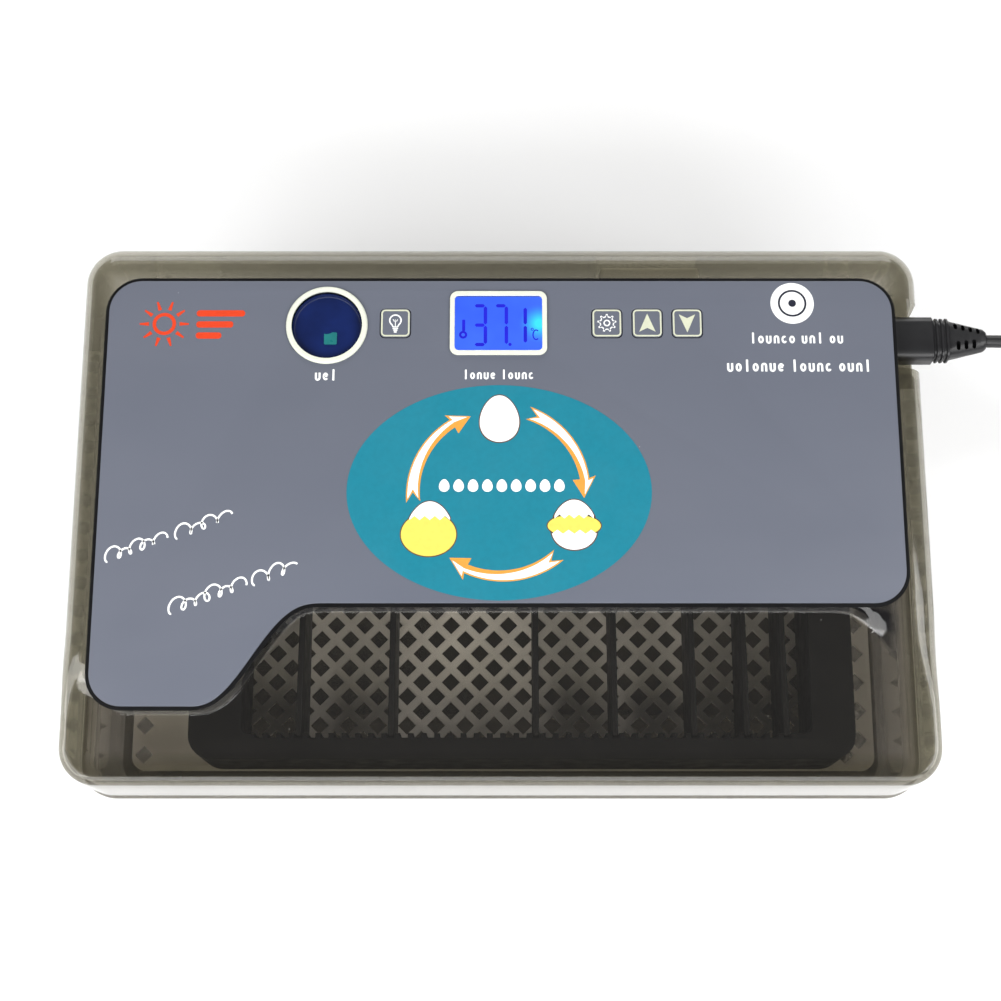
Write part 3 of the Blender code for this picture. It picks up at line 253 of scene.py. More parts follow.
def combine(tree, operation, first, second):
    """Two values put together."""
    node = tree.nodes.new("ShaderNodeMath")
    node.operation = operation
    feed(tree, node.inputs[0], first)
    feed(tree, node.inputs[1], second)
    return node.outputs["Value"]


def scaled(colour, factor):
    """A colour made darker or lighter."""
    return tuple(min(1, c * factor) for c in colour)


def blend_colour(tree, share, first, second):
    """A colour between two, each a colour or a socket."""
    node = tree.nodes.new("ShaderNodeMix")
    node.data_type = "RGBA"
    tree.links.new(share, node.inputs["Factor"])
    for socket, value in ((node.inputs[6], first), (node.inputs[7], second)):
        feed(tree, socket, value if isinstance(value, bpy.types.NodeSocket) else (*value, 1))
    return node.outputs[2]


def mix_shaders(tree, share, first, second):
    """Two shaders in a share that may come from nodes."""
    mixer = add_node(tree, "ShaderNodeMixShader", Fac=share)
    tree.links.new(first, mixer.inputs[1])
    tree.links.new(second, mixer.inputs[2])
    return mixer.outputs["Shader"]


def add_bump(tree, shader, height, strength, distance=0.0001):
    """Surface relief from a height value."""
    node = add_node(tree, "ShaderNodeBump", Height=height, Strength=strength, Distance=distance)
    tree.links.new(node.outputs["Normal"], shader.inputs["Normal"])


def specks(tree, scale, size, share):
    """1 inside sparse small specks, 0 elsewhere: share is how many cells hold one."""
    cells = add_node(tree, "ShaderNodeTexVoronoi", Vector=place(tree), Scale=scale)
    near = rescale(tree, cells.outputs["Distance"], size * 0.6, size, 1, 0)
    parts = add_node(tree, "ShaderNodeSeparateColor", Color=cells.outputs["Color"])
    chosen = combine(tree, "LESS_THAN", parts.outputs["Red"], share)
    return combine(tree, "MULTIPLY", near, chosen)


def moulded(name, colour, roughness, vary=0.12, grain_scale=1500, relief=0.15, specular=0.5,
            dust=0.0, coat=0.0):
    """Moulded plastic or rubber: slight shade and gloss changes, fine grain, a little dust."""
    made, tree, shader = new_material(name)
    patches = rescale(tree, grain(tree, 45, 4), 0.35, 0.65)
    shade = blend_colour(tree, patches, scaled(colour, 1 - vary), scaled(colour, 1 + vary))
    if dust > 0:
        spots = combine(tree, "MULTIPLY", specks(tree, 260, 0.07, 0.10), dust)
        shade = blend_colour(tree, spots, shade, (0.6, 0.6, 0.58))
    gloss = cloud(tree, 130, 5, roughness * 0.85, min(1, roughness * 1.2))
    set_inputs(tree, shader, Base_Color=shade, Roughness=gloss, Specular_IOR_Level=specular,
               Coat_Weight=coat, Coat_Roughness=0.08)
    add_bump(tree, shader, grain(tree, grain_scale, 2), relief)
    return made


def lid_masks(tree):
    """Where the lid's border and the step between its two levels are, from the place on it: thick
    plastic seen edge-on is darker there, which the see-through shader does not work out, so that darkening is
    painted shade."""
    axes = add_node(tree, "ShaderNodeSeparateXYZ", Vector=place(tree)).outputs
    off_middle = combine(tree, "ABSOLUTE", axes["X"], 0)
    side = rescale(tree, off_middle, 0.149, 0.157)
    back = rescale(tree, axes["Y"], 0.090, 0.096)
    front = rescale(tree, axes["Y"], -0.094, -0.100)
    border = combine(tree, "MAXIMUM", combine(tree, "MAXIMUM", side, back), front)
    above = rescale(tree, axes["Z"], 0.1363, 0.1370)
    below = rescale(tree, axes["Z"], 0.1409, 0.1405)
    inside = rescale(tree, off_middle, 0.151, 0.146)
    ahead = rescale(tree, axes["Y"], 0.0, -0.020)
    level = combine(tree, "MULTIPLY", above, below)
    return border, combine(tree, "MULTIPLY", level, combine(tree, "MULTIPLY", inside, ahead))


def smoky_material(name, tint, body, solid, edge_shade_tint=None):
    """See-through smoky plastic: a clear tint with a little body, under a gloss that grows at a
    grazing view. Given an edge tint, painted shade is added: a darker tint over the lid's border and a
    near-black, more solid band over its step."""
    made, tree, shader = new_material(name)
    dust = specks(tree, 190, 0.045, 0.05)
    shade = blend_colour(tree, cloud(tree, 14, 3), scaled(body, 0.9), scaled(body, 1.12))
    shade = blend_colour(tree, combine(tree, "MULTIPLY", dust, 0.7), shade, (0.7, 0.7, 0.66))
    clear = add_node(tree, "ShaderNodeBsdfTransparent", Color=(*tint, 1))
    solid_share = combine(tree, "ADD", combine(tree, "MULTIPLY", dust, 0.6), solid)
    if edge_shade_tint:
        # Painted shade: the border's clear tint turns darker, and the step gets a near-black colour and more
        # body.
        border, slope = lid_masks(tree)
        set_inputs(tree, clear, Color=blend_colour(tree, border, tint, edge_shade_tint))
        solid_share = combine(tree, "MAXIMUM", solid_share, combine(tree, "MULTIPLY", slope, 0.8))
        shade = blend_colour(tree, slope, shade, (0.006, 0.006, 0.007))
    set_inputs(tree, shader, Base_Color=shade, Roughness=0.6, Specular_IOR_Level=0.0)
    inside = mix_shaders(tree, solid_share, clear.outputs["BSDF"], shader.outputs["BSDF"])
    streaks = rescale(tree, grain(tree, 30, 6, (1, 0.25, 1)), 0.35, 0.75, 0.05, 0.11)
    gloss = add_node(tree, "ShaderNodeBsdfAnisotropic", Color=(1, 1, 1, 1), Roughness=streaks)
    add_bump(tree, gloss, grain(tree, 22, 1), 0.05, 0.0006)
    grazing = add_node(tree, "ShaderNodeLayerWeight", Blend=0.5)
    steep = combine(tree, "POWER", grazing.outputs["Facing"], 5.0)
    surface = mix_shaders(tree, rescale(tree, steep, 0, 1, 0.045, 0.9), inside, gloss.outputs["BSDF"])
    tree.links.new(surface, tree.nodes["Material Output"].inputs["Surface"])
    return made


def film_material():
    """Printed polyester film: satin slate grey with dust and hairline scratches."""
    made, tree, shader = new_material("film_grey")
    shade = blend_colour(tree, cloud(tree, 9, 3), (0.118, 0.129, 0.163), (0.128, 0.139, 0.174))
    dust = combine(tree, "MULTIPLY", specks(tree, 150, 0.030, 0.035), 0.55)
    shade = blend_colour(tree, dust, shade, (0.75, 0.76, 0.78))
    wipe = cloud(tree, 60, 6, 0.30, 0.40, (0.25, 1, 1))
    set_inputs(tree, shader, Base_Color=shade, Roughness=wipe, Specular_IOR_Level=0.5,
               Coat_Weight=0.15, Coat_Roughness=0.2)
    add_bump(tree, shader, grain(tree, 700, 2), 0.06)
    return made


def ink_material(name, colour, roughness=0.42):
    """Screen-printed ink: nearly even colour with a faint mottle."""
    made, tree, shader = new_material(name)
    shade = blend_colour(tree, cloud(tree, 420, 3), scaled(colour, 0.95), scaled(colour, 1.03))
    gloss = cloud(tree, 80, 4, roughness * 0.9, roughness * 1.1)
    set_inputs(tree, shader, Base_Color=shade, Roughness=gloss)
    add_bump(tree, shader, grain(tree, 900, 2), 0.05)
    return made


def metal_material(name, colour, roughness, stretch):
    """Drawn or plated metal with fine lines along one axis."""
    made, tree, shader = new_material(name)
    lines = grain(tree, 260, 4, stretch)
    gloss = rescale(tree, lines, 0.3, 0.7, roughness * 0.8, roughness * 1.3)
    set_inputs(tree, shader, Base_Color=blend_colour(tree, lines, scaled(colour, 0.85), colour),
               Roughness=gloss, Metallic=1.0)
    add_bump(tree, shader, lines, 0.12)
    return made


def lit_material(name, scale, lit, unlit):
    """Glowing surface, a little uneven, with a pair of lit and a pair of unlit colours; also
    gives its tree, its shader and its glow."""
    made, tree, shader = new_material(name)
    uneven = cloud(tree, scale, 2)
    glow = blend_colour(tree, uneven, *lit)
    set_inputs(tree, shader, Base_Color=blend_colour(tree, uneven, *unlit), Emission_Strength=1.0)
    return made, tree, shader, glow


def display_material():
    """Backlit display: bright blue, whiter next to the lamp at its right edge."""
    made, tree, shader, glow = lit_material(
        "display_blue", 55, ((0.042, 0.125, 0.90), (0.055, 0.165, 1.0)),
        ((0.004, 0.012, 0.10), (0.006, 0.016, 0.14)))
    lamp = tree.nodes.new("ShaderNodeVectorMath")
    lamp.operation = "DISTANCE"
    feed(tree, lamp.inputs[0], place(tree))
    feed(tree, lamp.inputs[1], ((LCD_AT[0] + 16) * mm, LCD_AT[1] * mm, 0.142))
    near = combine(tree, "POWER", rescale(tree, lamp.outputs["Value"], 0.0015, 0.0085, 1, 0), 2.0)
    set_inputs(tree, shader, Emission_Color=blend_colour(tree, near, glow, (0.05, 0.85, 1.0)),
               Roughness=cloud(tree, 300, 2, 0.16, 0.24))
    return made


def digit_material():
    """Dark display segments that still let some of the blue backlight through."""
    made, tree, shader, glow = lit_material(
        "digit_ink", 90, ((0.014, 0.012, 0.62), (0.020, 0.018, 0.80)),
        ((0.002, 0.003, 0.03), (0.003, 0.004, 0.04)))
    set_inputs(tree, shader, Emission_Color=glow, Roughness=0.25)
    return made


def board_material():
    """Circuit board: green mask over copper tracks, with pale pads."""
    made, tree, shader = new_material("board_green")
    tracks = add_node(tree, "ShaderNodeTexBrick", Vector=place(tree), Scale=190.0, Mortar_Size=0.03)
    lanes = rescale(tree, tracks.outputs["Fac"], 0.3, 0.7)
    shade = blend_colour(tree, lanes, (0.012, 0.12, 0.045), (0.03, 0.24, 0.09))
    shade = blend_colour(tree, specks(tree, 330, 0.22, 0.35), shade, (0.55, 0.55, 0.52))
    set_inputs(tree, shader, Base_Color=shade, Roughness=cloud(tree, 90, 3, 0.28, 0.42))
    add_bump(tree, shader, lanes, 0.3)
    return made


# The last colour is the painted shade tint over the lid's border.
SMOKY_LID = smoky_material("smoky_lid", (0.93, 0.915, 0.895), (0.05, 0.048, 0.045), 0.06,
                           (0.72, 0.705, 0.645))
SMOKY_TUB = smoky_material("smoky_tub", (0.66, 0.635, 0.59), (0.26, 0.245, 0.215), 0.50)
FILM = film_material()
INK_TEAL = ink_material("ink_teal", (0.008, 0.190, 0.265))
INK_WHITE = ink_material("ink_white", (0.92, 0.93, 0.92))
INK_ORANGE = ink_material("ink_orange", (0.72, 0.315, 0.050))
INK_YELLOW = ink_material("ink_yellow", (0.76, 0.65, 0.11))
INK_RED = ink_material("ink_red", (0.66, 0.048, 0.010))
INK_IVORY = ink_material("ink_ivory", (0.60, 0.62, 0.47))
INK_BROWN = ink_material("ink_brown", (0.13, 0.055, 0.03))
INK_DARK = ink_material("ink_dark", (0.012, 0.014, 0.03))
DIGIT_INK = digit_material()
IVORY = moulded("ivory_gloss", (0.70, 0.725, 0.62), 0.28, vary=0.03, relief=0.05)
BLACK = moulded("black_moulded", (0.0065, 0.0065, 0.0072), 0.48, vary=0.2, relief=0.22,
                specular=0.15, dust=0.12)
MESH_WHITE = moulded("mesh_plastic", (0.84, 0.81, 0.75), 0.45, vary=0.07, grain_scale=500, relief=0.2)
GEAR_WHITE = moulded("gear_plastic", (0.74, 0.72, 0.66), 0.38, vary=0.04, grain_scale=800, relief=0.12)
RUBBER = moulded("foot_rubber", (0.022, 0.022, 0.022), 0.78, vary=0.25, grain_scale=900,
                 relief=0.35, dust=0.5)
CORD_RUBBER = moulded("cord_rubber", (0.012, 0.012, 0.013), 0.36, vary=0.2, grain_scale=1100,
                      relief=0.12, dust=0.15)
LENS_BLUE = moulded("lens_blue", (0.004, 0.013, 0.082), 0.06, vary=0.3, grain_scale=60,
                    relief=0.02, coat=0.6)
LED_GREEN = moulded("lamp_chip", (0.014, 0.16, 0.16), 0.3, vary=0.25, grain_scale=900, relief=0.1)
STEEL = metal_material("steel_bright", (0.62, 0.62, 0.61), 0.26, (1, 1, 6))
PIN_METAL = metal_material("pin_plated", (0.70, 0.69, 0.66), 0.20, (1, 8, 1))
DISPLAY = display_material()
BOARD = board_material()


# ---------------------------------------------------------------- pieces

def add_object(name, data):
    """A new object in the scene."""
    obj = bpy.data.objects.new(name, data)
    bpy.context.scene.collection.objects.link(obj)
    return obj


def finish_piece(obj, material, body, replaces=()):
    """Give a piece its material, the body it rides and the nodes it stands for."""
    obj.data.materials.clear()
    obj.data.materials.append(material)
    if replaces:
        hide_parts(*replaces)
    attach(obj, body)
    return obj


def smooth(mesh, angle=35):
    """Shade a mesh smooth with its sharp edges kept."""
    mesh.shade_smooth()
    mesh.set_sharp_from_angle(angle=math.radians(angle))


def link_mesh(name, mesh, angle=35):
    """An object for a mesh, shaded smooth with its sharp edges kept."""
    smooth(mesh, angle)
    return add_object(name, mesh)


def mesh_of(obj):
    """A new mesh of what an object looks like with its modifiers, after which it is removed."""
    depsgraph = bpy.context.evaluated_depsgraph_get()
    mesh = bpy.data.meshes.new_from_object(obj.evaluated_get(depsgraph))
    bpy.data.objects.remove(obj, do_unlink=True)
    return mesh


def to_mesh(name, work):
    """A new mesh from a bmesh, which is freed."""
    mesh = bpy.data.meshes.new(name)
    work.to_mesh(mesh)
    work.free()
    return mesh


def joined(name, meshes):
    """One mesh from several, which are removed together with their objects."""
    work = bmesh.new()
    for mesh in meshes:
        work.from_mesh(mesh)
        bpy.data.meshes.remove(mesh)
    return to_mesh(name, work)


def flat_mesh(loops, thickness, bevel=0.0, segments=2):
    """Mesh of a flat piece from closed outlines in mm, later ones being holes; underside at z 0."""
    curve = bpy.data.curves.new("outline", "CURVE")
    curve.dimensions = "2D"
    curve.fill_mode = "BOTH"
    curve.extrude = max(0.0, thickness / 2 - bevel) * mm
    curve.bevel_depth = bevel * mm
    curve.bevel_resolution = segments
    curve.offset = -bevel * mm
    for loop in loops:
        spline = curve.splines.new("POLY")
        spline.points.add(len(loop) - 1)
        for point, (x, y) in zip(spline.points, loop):
            point.co = (x * mm, y * mm, 0, 1)
        spline.use_cyclic_u = True
    mesh = mesh_of(add_object("outline", curve))
    work = bmesh.new()
    work.from_mesh(mesh)
    bmesh.ops.remove_doubles(work, verts=work.verts, dist=1e-7)
    bmesh.ops.translate(work, vec=(0, 0, thickness / 2 * mm), verts=work.verts)
    work.to_mesh(mesh)
    work.free()
    return mesh


def flat_piece(name, loops, low_z, thickness, bevel=0.0, segments=2):
    """Flat piece lying at a height."""
    return placed_piece(name, flat_mesh(loops, thickness, bevel, segments), (0, 0, low_z))


def placed_piece(name, mesh, at, turn=Matrix()):
    """Piece from a mesh that is turned and then moved to a place in mm."""
    mesh.transform(translation(at) @ turn)
    return link_mesh(name, mesh)


def translation(vector):
    """Matrix that moves by a vector in mm."""
    return Matrix.Translation(Vector(vector) * mm)


def rotation(axis, degrees):
    """Matrix that turns about an axis."""
    return Matrix.Rotation(math.radians(degrees), 4, axis)


def print_piece(name, groups, ink, body="lid", z=PRINT_Z):
    """Thin printed shapes: groups of outlines, where overlapping shapes are in groups of their own."""
    mesh = joined(name, [flat_mesh(loops, PRINT_THICKNESS) for loops in groups])
    mesh.transform(translation((0, 0, z)))
    return finish_piece(link_mesh(name, mesh), ink, body)


def loft(name, sections, angle=35):
    """Skin through rings of points in mm, closed at both ends."""
    work = bmesh.new()
    rings = [[work.verts.new(Vector(p) * mm) for p in section] for section in sections]
    for low, high in zip(rings, rings[1:]):
        for i in range(len(low)):
            j = (i + 1) % len(low)
            work.faces.new((low[i], low[j], high[j], high[i]))
    work.faces.new(rings[0][::-1])
    work.faces.new(rings[-1])
    bmesh.ops.recalc_face_normals(work, faces=work.faces)
    return link_mesh(name, to_mesh(name, work), angle)


def at_height(outline, z):
    """An outline as points at a height."""
    return [(x, y, z) for x, y in outline]


def turned(name, profile, centre, steps=64, closed=False):
    """Turned piece about a vertical axis from a profile of (radius, z) in mm."""
    mesh = bpy.data.meshes.new(name)
    edges = [(i, i + 1) for i in range(len(profile) - 1)]
    if closed:
        edges.append((len(profile) - 1, 0))
    mesh.from_pydata([(r * mm, 0, z * mm) for r, z in profile], edges, [])
    obj = add_object(name, mesh)
    screw = obj.modifiers.new("turn", "SCREW")
    screw.axis = "Z"
    screw.steps = steps
    screw.render_steps = steps
    screw.use_merge_vertices = True
    screw.merge_threshold = 0.00001
    made = mesh_of(obj)
    made.transform(translation(centre))
    return link_mesh(name, made)


def cut_with(obj, cutters):
    """Cut several shapes away and leave a plain mesh."""
    tool = add_object("cutter", joined("cutter", [cutter.data for cutter in cutters]))
    step = obj.modifiers.new("cut", "BOOLEAN")
    step.operation = "DIFFERENCE"
    step.solver = "EXACT"
    step.object = tool
    name = obj.name
    made = mesh_of(obj)
    bpy.data.objects.remove(tool, do_unlink=True)
    return link_mesh(name, made)


# ---------------------------------------------------------------- camera, floor and light

def make_camera():
    """Camera at the product picture's angle: high in front, 75 degrees above the table."""
    data = bpy.data.cameras.new("camera")
    data.lens = 66.5
    data.sensor_width = 36
    camera = add_object("camera", data)
    target = Vector((0, 0.00085, 0.141))
    tilt = math.radians(15)
    distance = 0.706
    camera.location = target + Vector((0, -math.sin(tilt), math.cos(tilt))) * distance
    camera.rotation_euler = (tilt, 0, 0)
    bpy.context.scene.camera = camera


def make_floor():
    """Plain pale floor."""
    work = bmesh.new()
    bmesh.ops.create_grid(work, x_segments=1, y_segments=1, size=3.0)
    floor = add_object("floor", to_mesh("floor", work))
    floor.location = (0, 0, -0.0002)
    made, tree, shader = new_material("floor_white")
    shade = blend_colour(tree, grain(tree, 3, 2), (0.93, 0.93, 0.93), (0.95, 0.95, 0.95))
    set_inputs(tree, shader, Base_Color=shade, Roughness=0.9, Specular_IOR_Level=0.1)
    floor.data.materials.append(made)


def add_softbox(name, location, target, size, power):
    """Rectangular soft light aimed at a point."""
    data = bpy.data.lights.new(name, "AREA")
    data.shape = "RECTANGLE"
    data.size, data.size_y = size
    data.energy = power
    light = add_object(name, data)
    light.location = location
    light.rotation_euler = (Vector(target) - Vector(location)).to_track_quat("-Z", "Y").to_euler()


def make_light():
    """Soft boxes on four sides, none straight above, and a dim even surround."""
    world = bpy.data.worlds.new("surround")
    world.use_nodes = True
    tree = world.node_tree
    set_inputs(tree, tree.nodes["Background"], Color=(1, 1, 1, 1), Strength=0.12)
    bpy.context.scene.world = world
    add_softbox("box_front", (0, -0.72, 0.72), (0, 0, 0.1), (1.5, 0.6), 11.5)
    add_softbox("box_left", (-1.15, -0.45, 1.0), (0, 0, 0.1), (1.25, 1.1), 17)
    add_softbox("box_right", (1.15, -0.15, 1.1), (0, 0, 0.1), (0.9, 0.9), 13)
    add_softbox("box_back", (0, 1.7, 0.8), (0, 0, 0.05), (2.0, 0.8), 20)
    bpy.context.scene.view_settings.view_transform = "Standard"


# ---------------------------------------------------------------- mains lead

def coil_turns():
    """Points of the wound part: three turns on the table going inwards, two on top going outwards."""
    points = []
    steps = 40
    shift_from = 0.80
    radii = ((32.5, 27.5), (27.5, 22.5), (22.5, 25.0), (25.0, 30.0), (30.0, 30.0))
    climb = (0.52, 0.80)
    for turn, (start_r, end_r) in enumerate(radii):
        for i in range(steps):
            share = i / steps
            radius = between(start_r, end_r, ease((share - shift_from) / (1 - shift_from)))
            if turn < 2:
                z = LAYER_Z[0]
            elif turn == 2:
                z = between(*LAYER_Z, ease((share - climb[0]) / (climb[1] - climb[0])))
            else:
                z = LAYER_Z[1]
            angle = -math.tau * share
            points.append(Vector((COIL_AT[0] + radius * math.cos(angle),
                                  COIL_AT[1] + radius * math.sin(angle), z)))
    return points[1:]


def make_lead():
    """The whole lead as one curve from the connector, through the coil, to the mains plug."""
    run = [Vector((p.x, p.y, max(p.z, TABLE_CORD_Z))) for p in smooth_path(CORD_ROUTE, 8)]
    path = run + coil_turns() + smooth_path(TAIL_ROUTE, 6)
    curve = bpy.data.curves.new("mains_lead", "CURVE")
    curve.dimensions = "3D"
    curve.bevel_depth = CORD_R * mm
    curve.bevel_resolution = 5
    curve.use_fill_caps = True
    spline = curve.splines.new("POLY")
    spline.points.add(len(path) - 1)
    for point, spot in zip(spline.points, path):
        point.co = (*(spot * mm), 1)
    spline.use_smooth = True
    lead = add_object("mains_lead", curve)
    length = sum((q - p).length for p, q in zip(path, path[1:])) * mm
    print(f"LEAD LENGTH {length:.4f}")
    return finish_piece(lead, CORD_RUBBER, "base", ("cord_run", "cord_coil", "cord_tail"))


def oval(width, height, steps=12):
    """Flat-sided oval."""
    radius = height / 2
    reach = width / 2 - radius
    return arc((reach, 0), radius, -90, 90, steps) + arc((-reach, 0), radius, 90, 270, steps)


def along_x(outline, x):
    """An outline of (width, height) as a ring across the lead where it leaves the lid."""
    return [(x, PLUG_Y + w, PLUG_Z + h) for w, h in outline]


def along_plug(outline, y):
    """An outline of (width, height) as a ring across the mains plug."""
    return [(MAINS_PLUG_AT[0] + w, MAINS_PLUG_AT[1] - y, MAINS_PLUG_AT[2] + h) for w, h in outline]


def make_connector():
    """Two-pole connector: flat body, three grip rings and a tapering relief with oval slots."""
    front = 151.0
    body = rounded_rect(18.2, 11.0, 3.6, steps=10)
    edge = rounded_rect(17.2, 10.0, 3.2, steps=10)
    neck = rounded_rect(15.6, 9.4, 3.6, steps=10)
    band = rounded_rect(17.4, 10.6, 4.2, steps=10)
    nose = rounded_rect(13.4, 7.4, 3.6, steps=10)
    sections = [along_x(nose, front - 10), along_x(nose, front + 0.2), along_x(edge, front + 0.4),
                along_x(body, front + 1.1), along_x(body, front + 19.4), along_x(neck, front + 20.2)]
    for i in range(3):
        x = front + 20.6 + 2.0 * i
        sections += [along_x(neck, x), along_x(band, x + 0.35), along_x(band, x + 1.05),
                     along_x(neck, x + 1.4)]
    length = 192.0 - front
    for i in range(9):
        share = i / 8
        size = between(15.2, 9.0, share), between(9.6, 7.2, share), between(4.0, 3.4, share)
        outline = rounded_rect(*size, steps=10)
        sections.append(along_x(outline, front + 26.8 + (length - 28.0) * share))
    sections.append(along_x(rounded_rect(7.2, 6.0, 2.9, steps=10), front + length))
    relief = loft("connector_body", sections, angle=50)
    cutters = []
    for i in range(4):
        x = front + 28.6 + 3.0 * i
        cutters.append(slot_cutter(x, PLUG_Y + 4.6 - 0.55 * i, 1.5, 2.6))
    for i in range(3):
        x = front + 29.4 + 3.2 * i
        cutters.append(slot_cutter(x, PLUG_Y - 3.4 + 0.45 * i, 1.6, 3.6))
    relief = cut_with(relief, cutters)
    return finish_piece(relief, CORD_RUBBER, "lid", ("power_connector",))


def slot_cutter(x, y, width, length):
    """Upright slug with an oval outline that sinks a slot into the relief's top."""
    outline = [(x + a, y + b) for b, a in oval(length, width, 6)]
    return loft("slot", [at_height(outline, PLUG_Z + 1.2), at_height(outline, PLUG_Z + 8)])


def make_mains_plug():
    """Flat two-pin mains plug with a grip waist, its pins keeping their own solids."""
    profile = ((7.4, 7.0, -8.0), (7.8, 7.4, -7.2), (9.6, 8.6, -2), (12.4, 10, 4.5), (15.5, 11.4, 9.5),
               (21, 12.6, 14), (27.5, 13.2, 18.5), (32.6, 13.4, 23), (34.6, 13.4, 27), (35, 13.4, 31),
               (35, 13.4, 34.2), (34, 12.6, 35))
    sections = [along_plug(oval(width, height, 14), y) for width, height, y in profile]
    plug = loft("mains_plug_body", sections, angle=50)
    cutters = []
    for i in range(4):
        y = MAINS_PLUG_AT[1] - 1.0 - 3.2 * i
        for side in (-1, 1):
            outline = [(MAINS_PLUG_AT[0] + side * (6.4 + 0.5 * i) + a, y + b) for a, b in oval(4.4, 1.3, 6)]
            cutters.append(loft("groove", [at_height(outline, 9.2), at_height(outline, 16)]))
    plug = cut_with(plug, cutters)
    return finish_piece(plug, CORD_RUBBER, "base", ("mains_plug",))


def make_tie():
    """Rubber strap round the coil with a small toggle."""
    outer = rounded_rect(18.0, 12.4, 2.4, (0, 6.2), 6)
    inner = rounded_rect(15.8, 10.2, 1.8, (0, 6.2), 6)
    strap = placed_piece("coil_strap", flat_mesh([outer, inner], 6, 0.3), (TIE_X, COIL_AT[1] + 3, 0.05),
                         rotation("X", 90))
    finish_piece(strap, RUBBER, "base", ("cord_tie",))
    profile = [(0, 2.0), (2.2, 2.0), (2.7, 1.6), (2.7, 0.6), (2.1, 0), (0, 0)]
    toggle = turned("strap_toggle", profile, (TIE_X, COIL_AT[1], 12.2), 32)
    finish_piece(toggle, RUBBER, "base")
    return strap, toggle


make_camera()
make_floor()
make_light()
make_connector()
LEAD = make_lead()
MAINS_PLUG = make_mains_plug()
STRAP, TOGGLE = make_tie()


# ---------------------------------------------------------------- lid

def step_top_y(x):
    """Front edge of the plateau at a width position."""
    edge = between(LOBE_Y, EDGE_Y, ease((x - S_START_X) / (S_END_X - S_START_X)))
    if x < LEFT_BLEND_X:
        edge += LEFT_SWEEP * ease((LEFT_BLEND_X - x) / (LID_X / 2 + LEFT_BLEND_X))
    if x > RIGHT_BLEND_X:
        edge += RIGHT_SWEEP * ease((x - RIGHT_BLEND_X) / (LID_X / 2 - RIGHT_BLEND_X))
    return edge


def step_bottom_y(x):
    """Foot of the step at a width position."""
    middle = (S_START_X + S_END_X) / 2
    along_s = clamp(1 - abs(x - middle) / (S_END_X - middle))
    edge = step_top_y(x) - STEP_RUN - S_EXTRA_RUN * ease(along_s)
    if x > RIGHT_BLEND_X:
        edge = between(edge, SIDE_BLEND_Y, ease((x - RIGHT_BLEND_X) / (LID_X / 2 - RIGHT_BLEND_X)))
    if x < LEFT_BLEND_X:
        edge = between(edge, SIDE_BLEND_Y, ease((LEFT_BLEND_X - x) / (LID_X / 2 + LEFT_BLEND_X)))
    return edge


def outline_distance(x, y):
    """Distance inwards from the lid's outside in plan."""
    dx = abs(x) - (LID_X / 2 - LID_CORNER)
    dy = abs(y) - (LID_Y / 2 - LID_CORNER)
    outside = math.hypot(max(dx, 0), max(dy, 0))
    return LID_CORNER - outside - min(max(dx, dy), 0)


def fillet_at(y):
    """Radius of the lid's rounded edge at a depth position."""
    back, front = FILLET_CHANGE_Y
    return between(LID_FILLET, FRONT_FILLET, ease((back - y) / (back - front)))


def lid_height(x, y):
    """Height of the lid's outside over a point of its plan."""
    top_y, bottom_y = step_top_y(x), step_bottom_y(x)
    z = between(PLATEAU_Z, WINDOW_Z, ease((top_y - y) / (top_y - bottom_y)))
    fillet = fillet_at(y)
    inward = max(0.0, min(fillet, outline_distance(x, y)))
    z -= fillet - math.sqrt(fillet ** 2 - (fillet - inward) ** 2)
    into_notch = min(x - NOTCH_X, y - NOTCH_Y[0], NOTCH_Y[1] - y)
    return between(z, NOTCH_Z, clamp(into_notch / NOTCH_DRAFT))


def panel_outline(inset, steps=10, s_steps=48):
    """Outline that follows the plateau's edge at an inset: straight back and sides, S-shaped front."""
    half_x = PANEL_X - inset
    back_y = PANEL_BACK_Y - inset
    front = LOBE_Y + 0.8 + inset
    right_front = EDGE_Y + 0.8 + inset
    corner = PANEL_CORNER - inset
    points = arc((-half_x + corner, back_y - corner), corner, 180, 90, steps)
    points += arc((half_x - corner, back_y - corner), corner, 90, 0, steps)
    points += arc((half_x - corner, right_front + corner), corner, 0, -90, steps)
    total = 0.8 + inset
    for i in range(s_steps + 1):
        x = between(S_END_X, S_START_X, i / s_steps)
        swell = math.sin(math.pi * i / s_steps)
        points.append((x - total * 0.9 * swell, step_top_y(x) + total * (1 - 0.5 * swell)))
    points += arc((-half_x + corner, front + corner), corner, 270, 180, steps)
    return points


def lid_openings():
    """Openings through the plateau for the display, the lamp and the key stems."""
    loops = [rounded_rect(LCD_GLASS[0] + 0.6, LCD_GLASS[1] + 0.6, 0.4, LCD_AT, 2)]
    loops.append(circle(CANDLER_AT, CANDLER_LENS_R + 0.3, 48))
    loops += [circle((x, KEY_Y), 2.5, 16) for x in KEY_X.values()]
    return loops


def inside_opening(x, y):
    """Whether a point lies in one of the lid's openings."""
    if abs(x - LCD_AT[0]) < LCD_GLASS[0] / 2 and abs(y - LCD_AT[1]) < LCD_GLASS[1] / 2:
        return True
    if math.hypot(x - CANDLER_AT[0], y - CANDLER_AT[1]) < CANDLER_LENS_R + 0.1:
        return True
    return any(math.hypot(x - key_x, y - KEY_Y) < 2.3 for key_x in KEY_X.values())


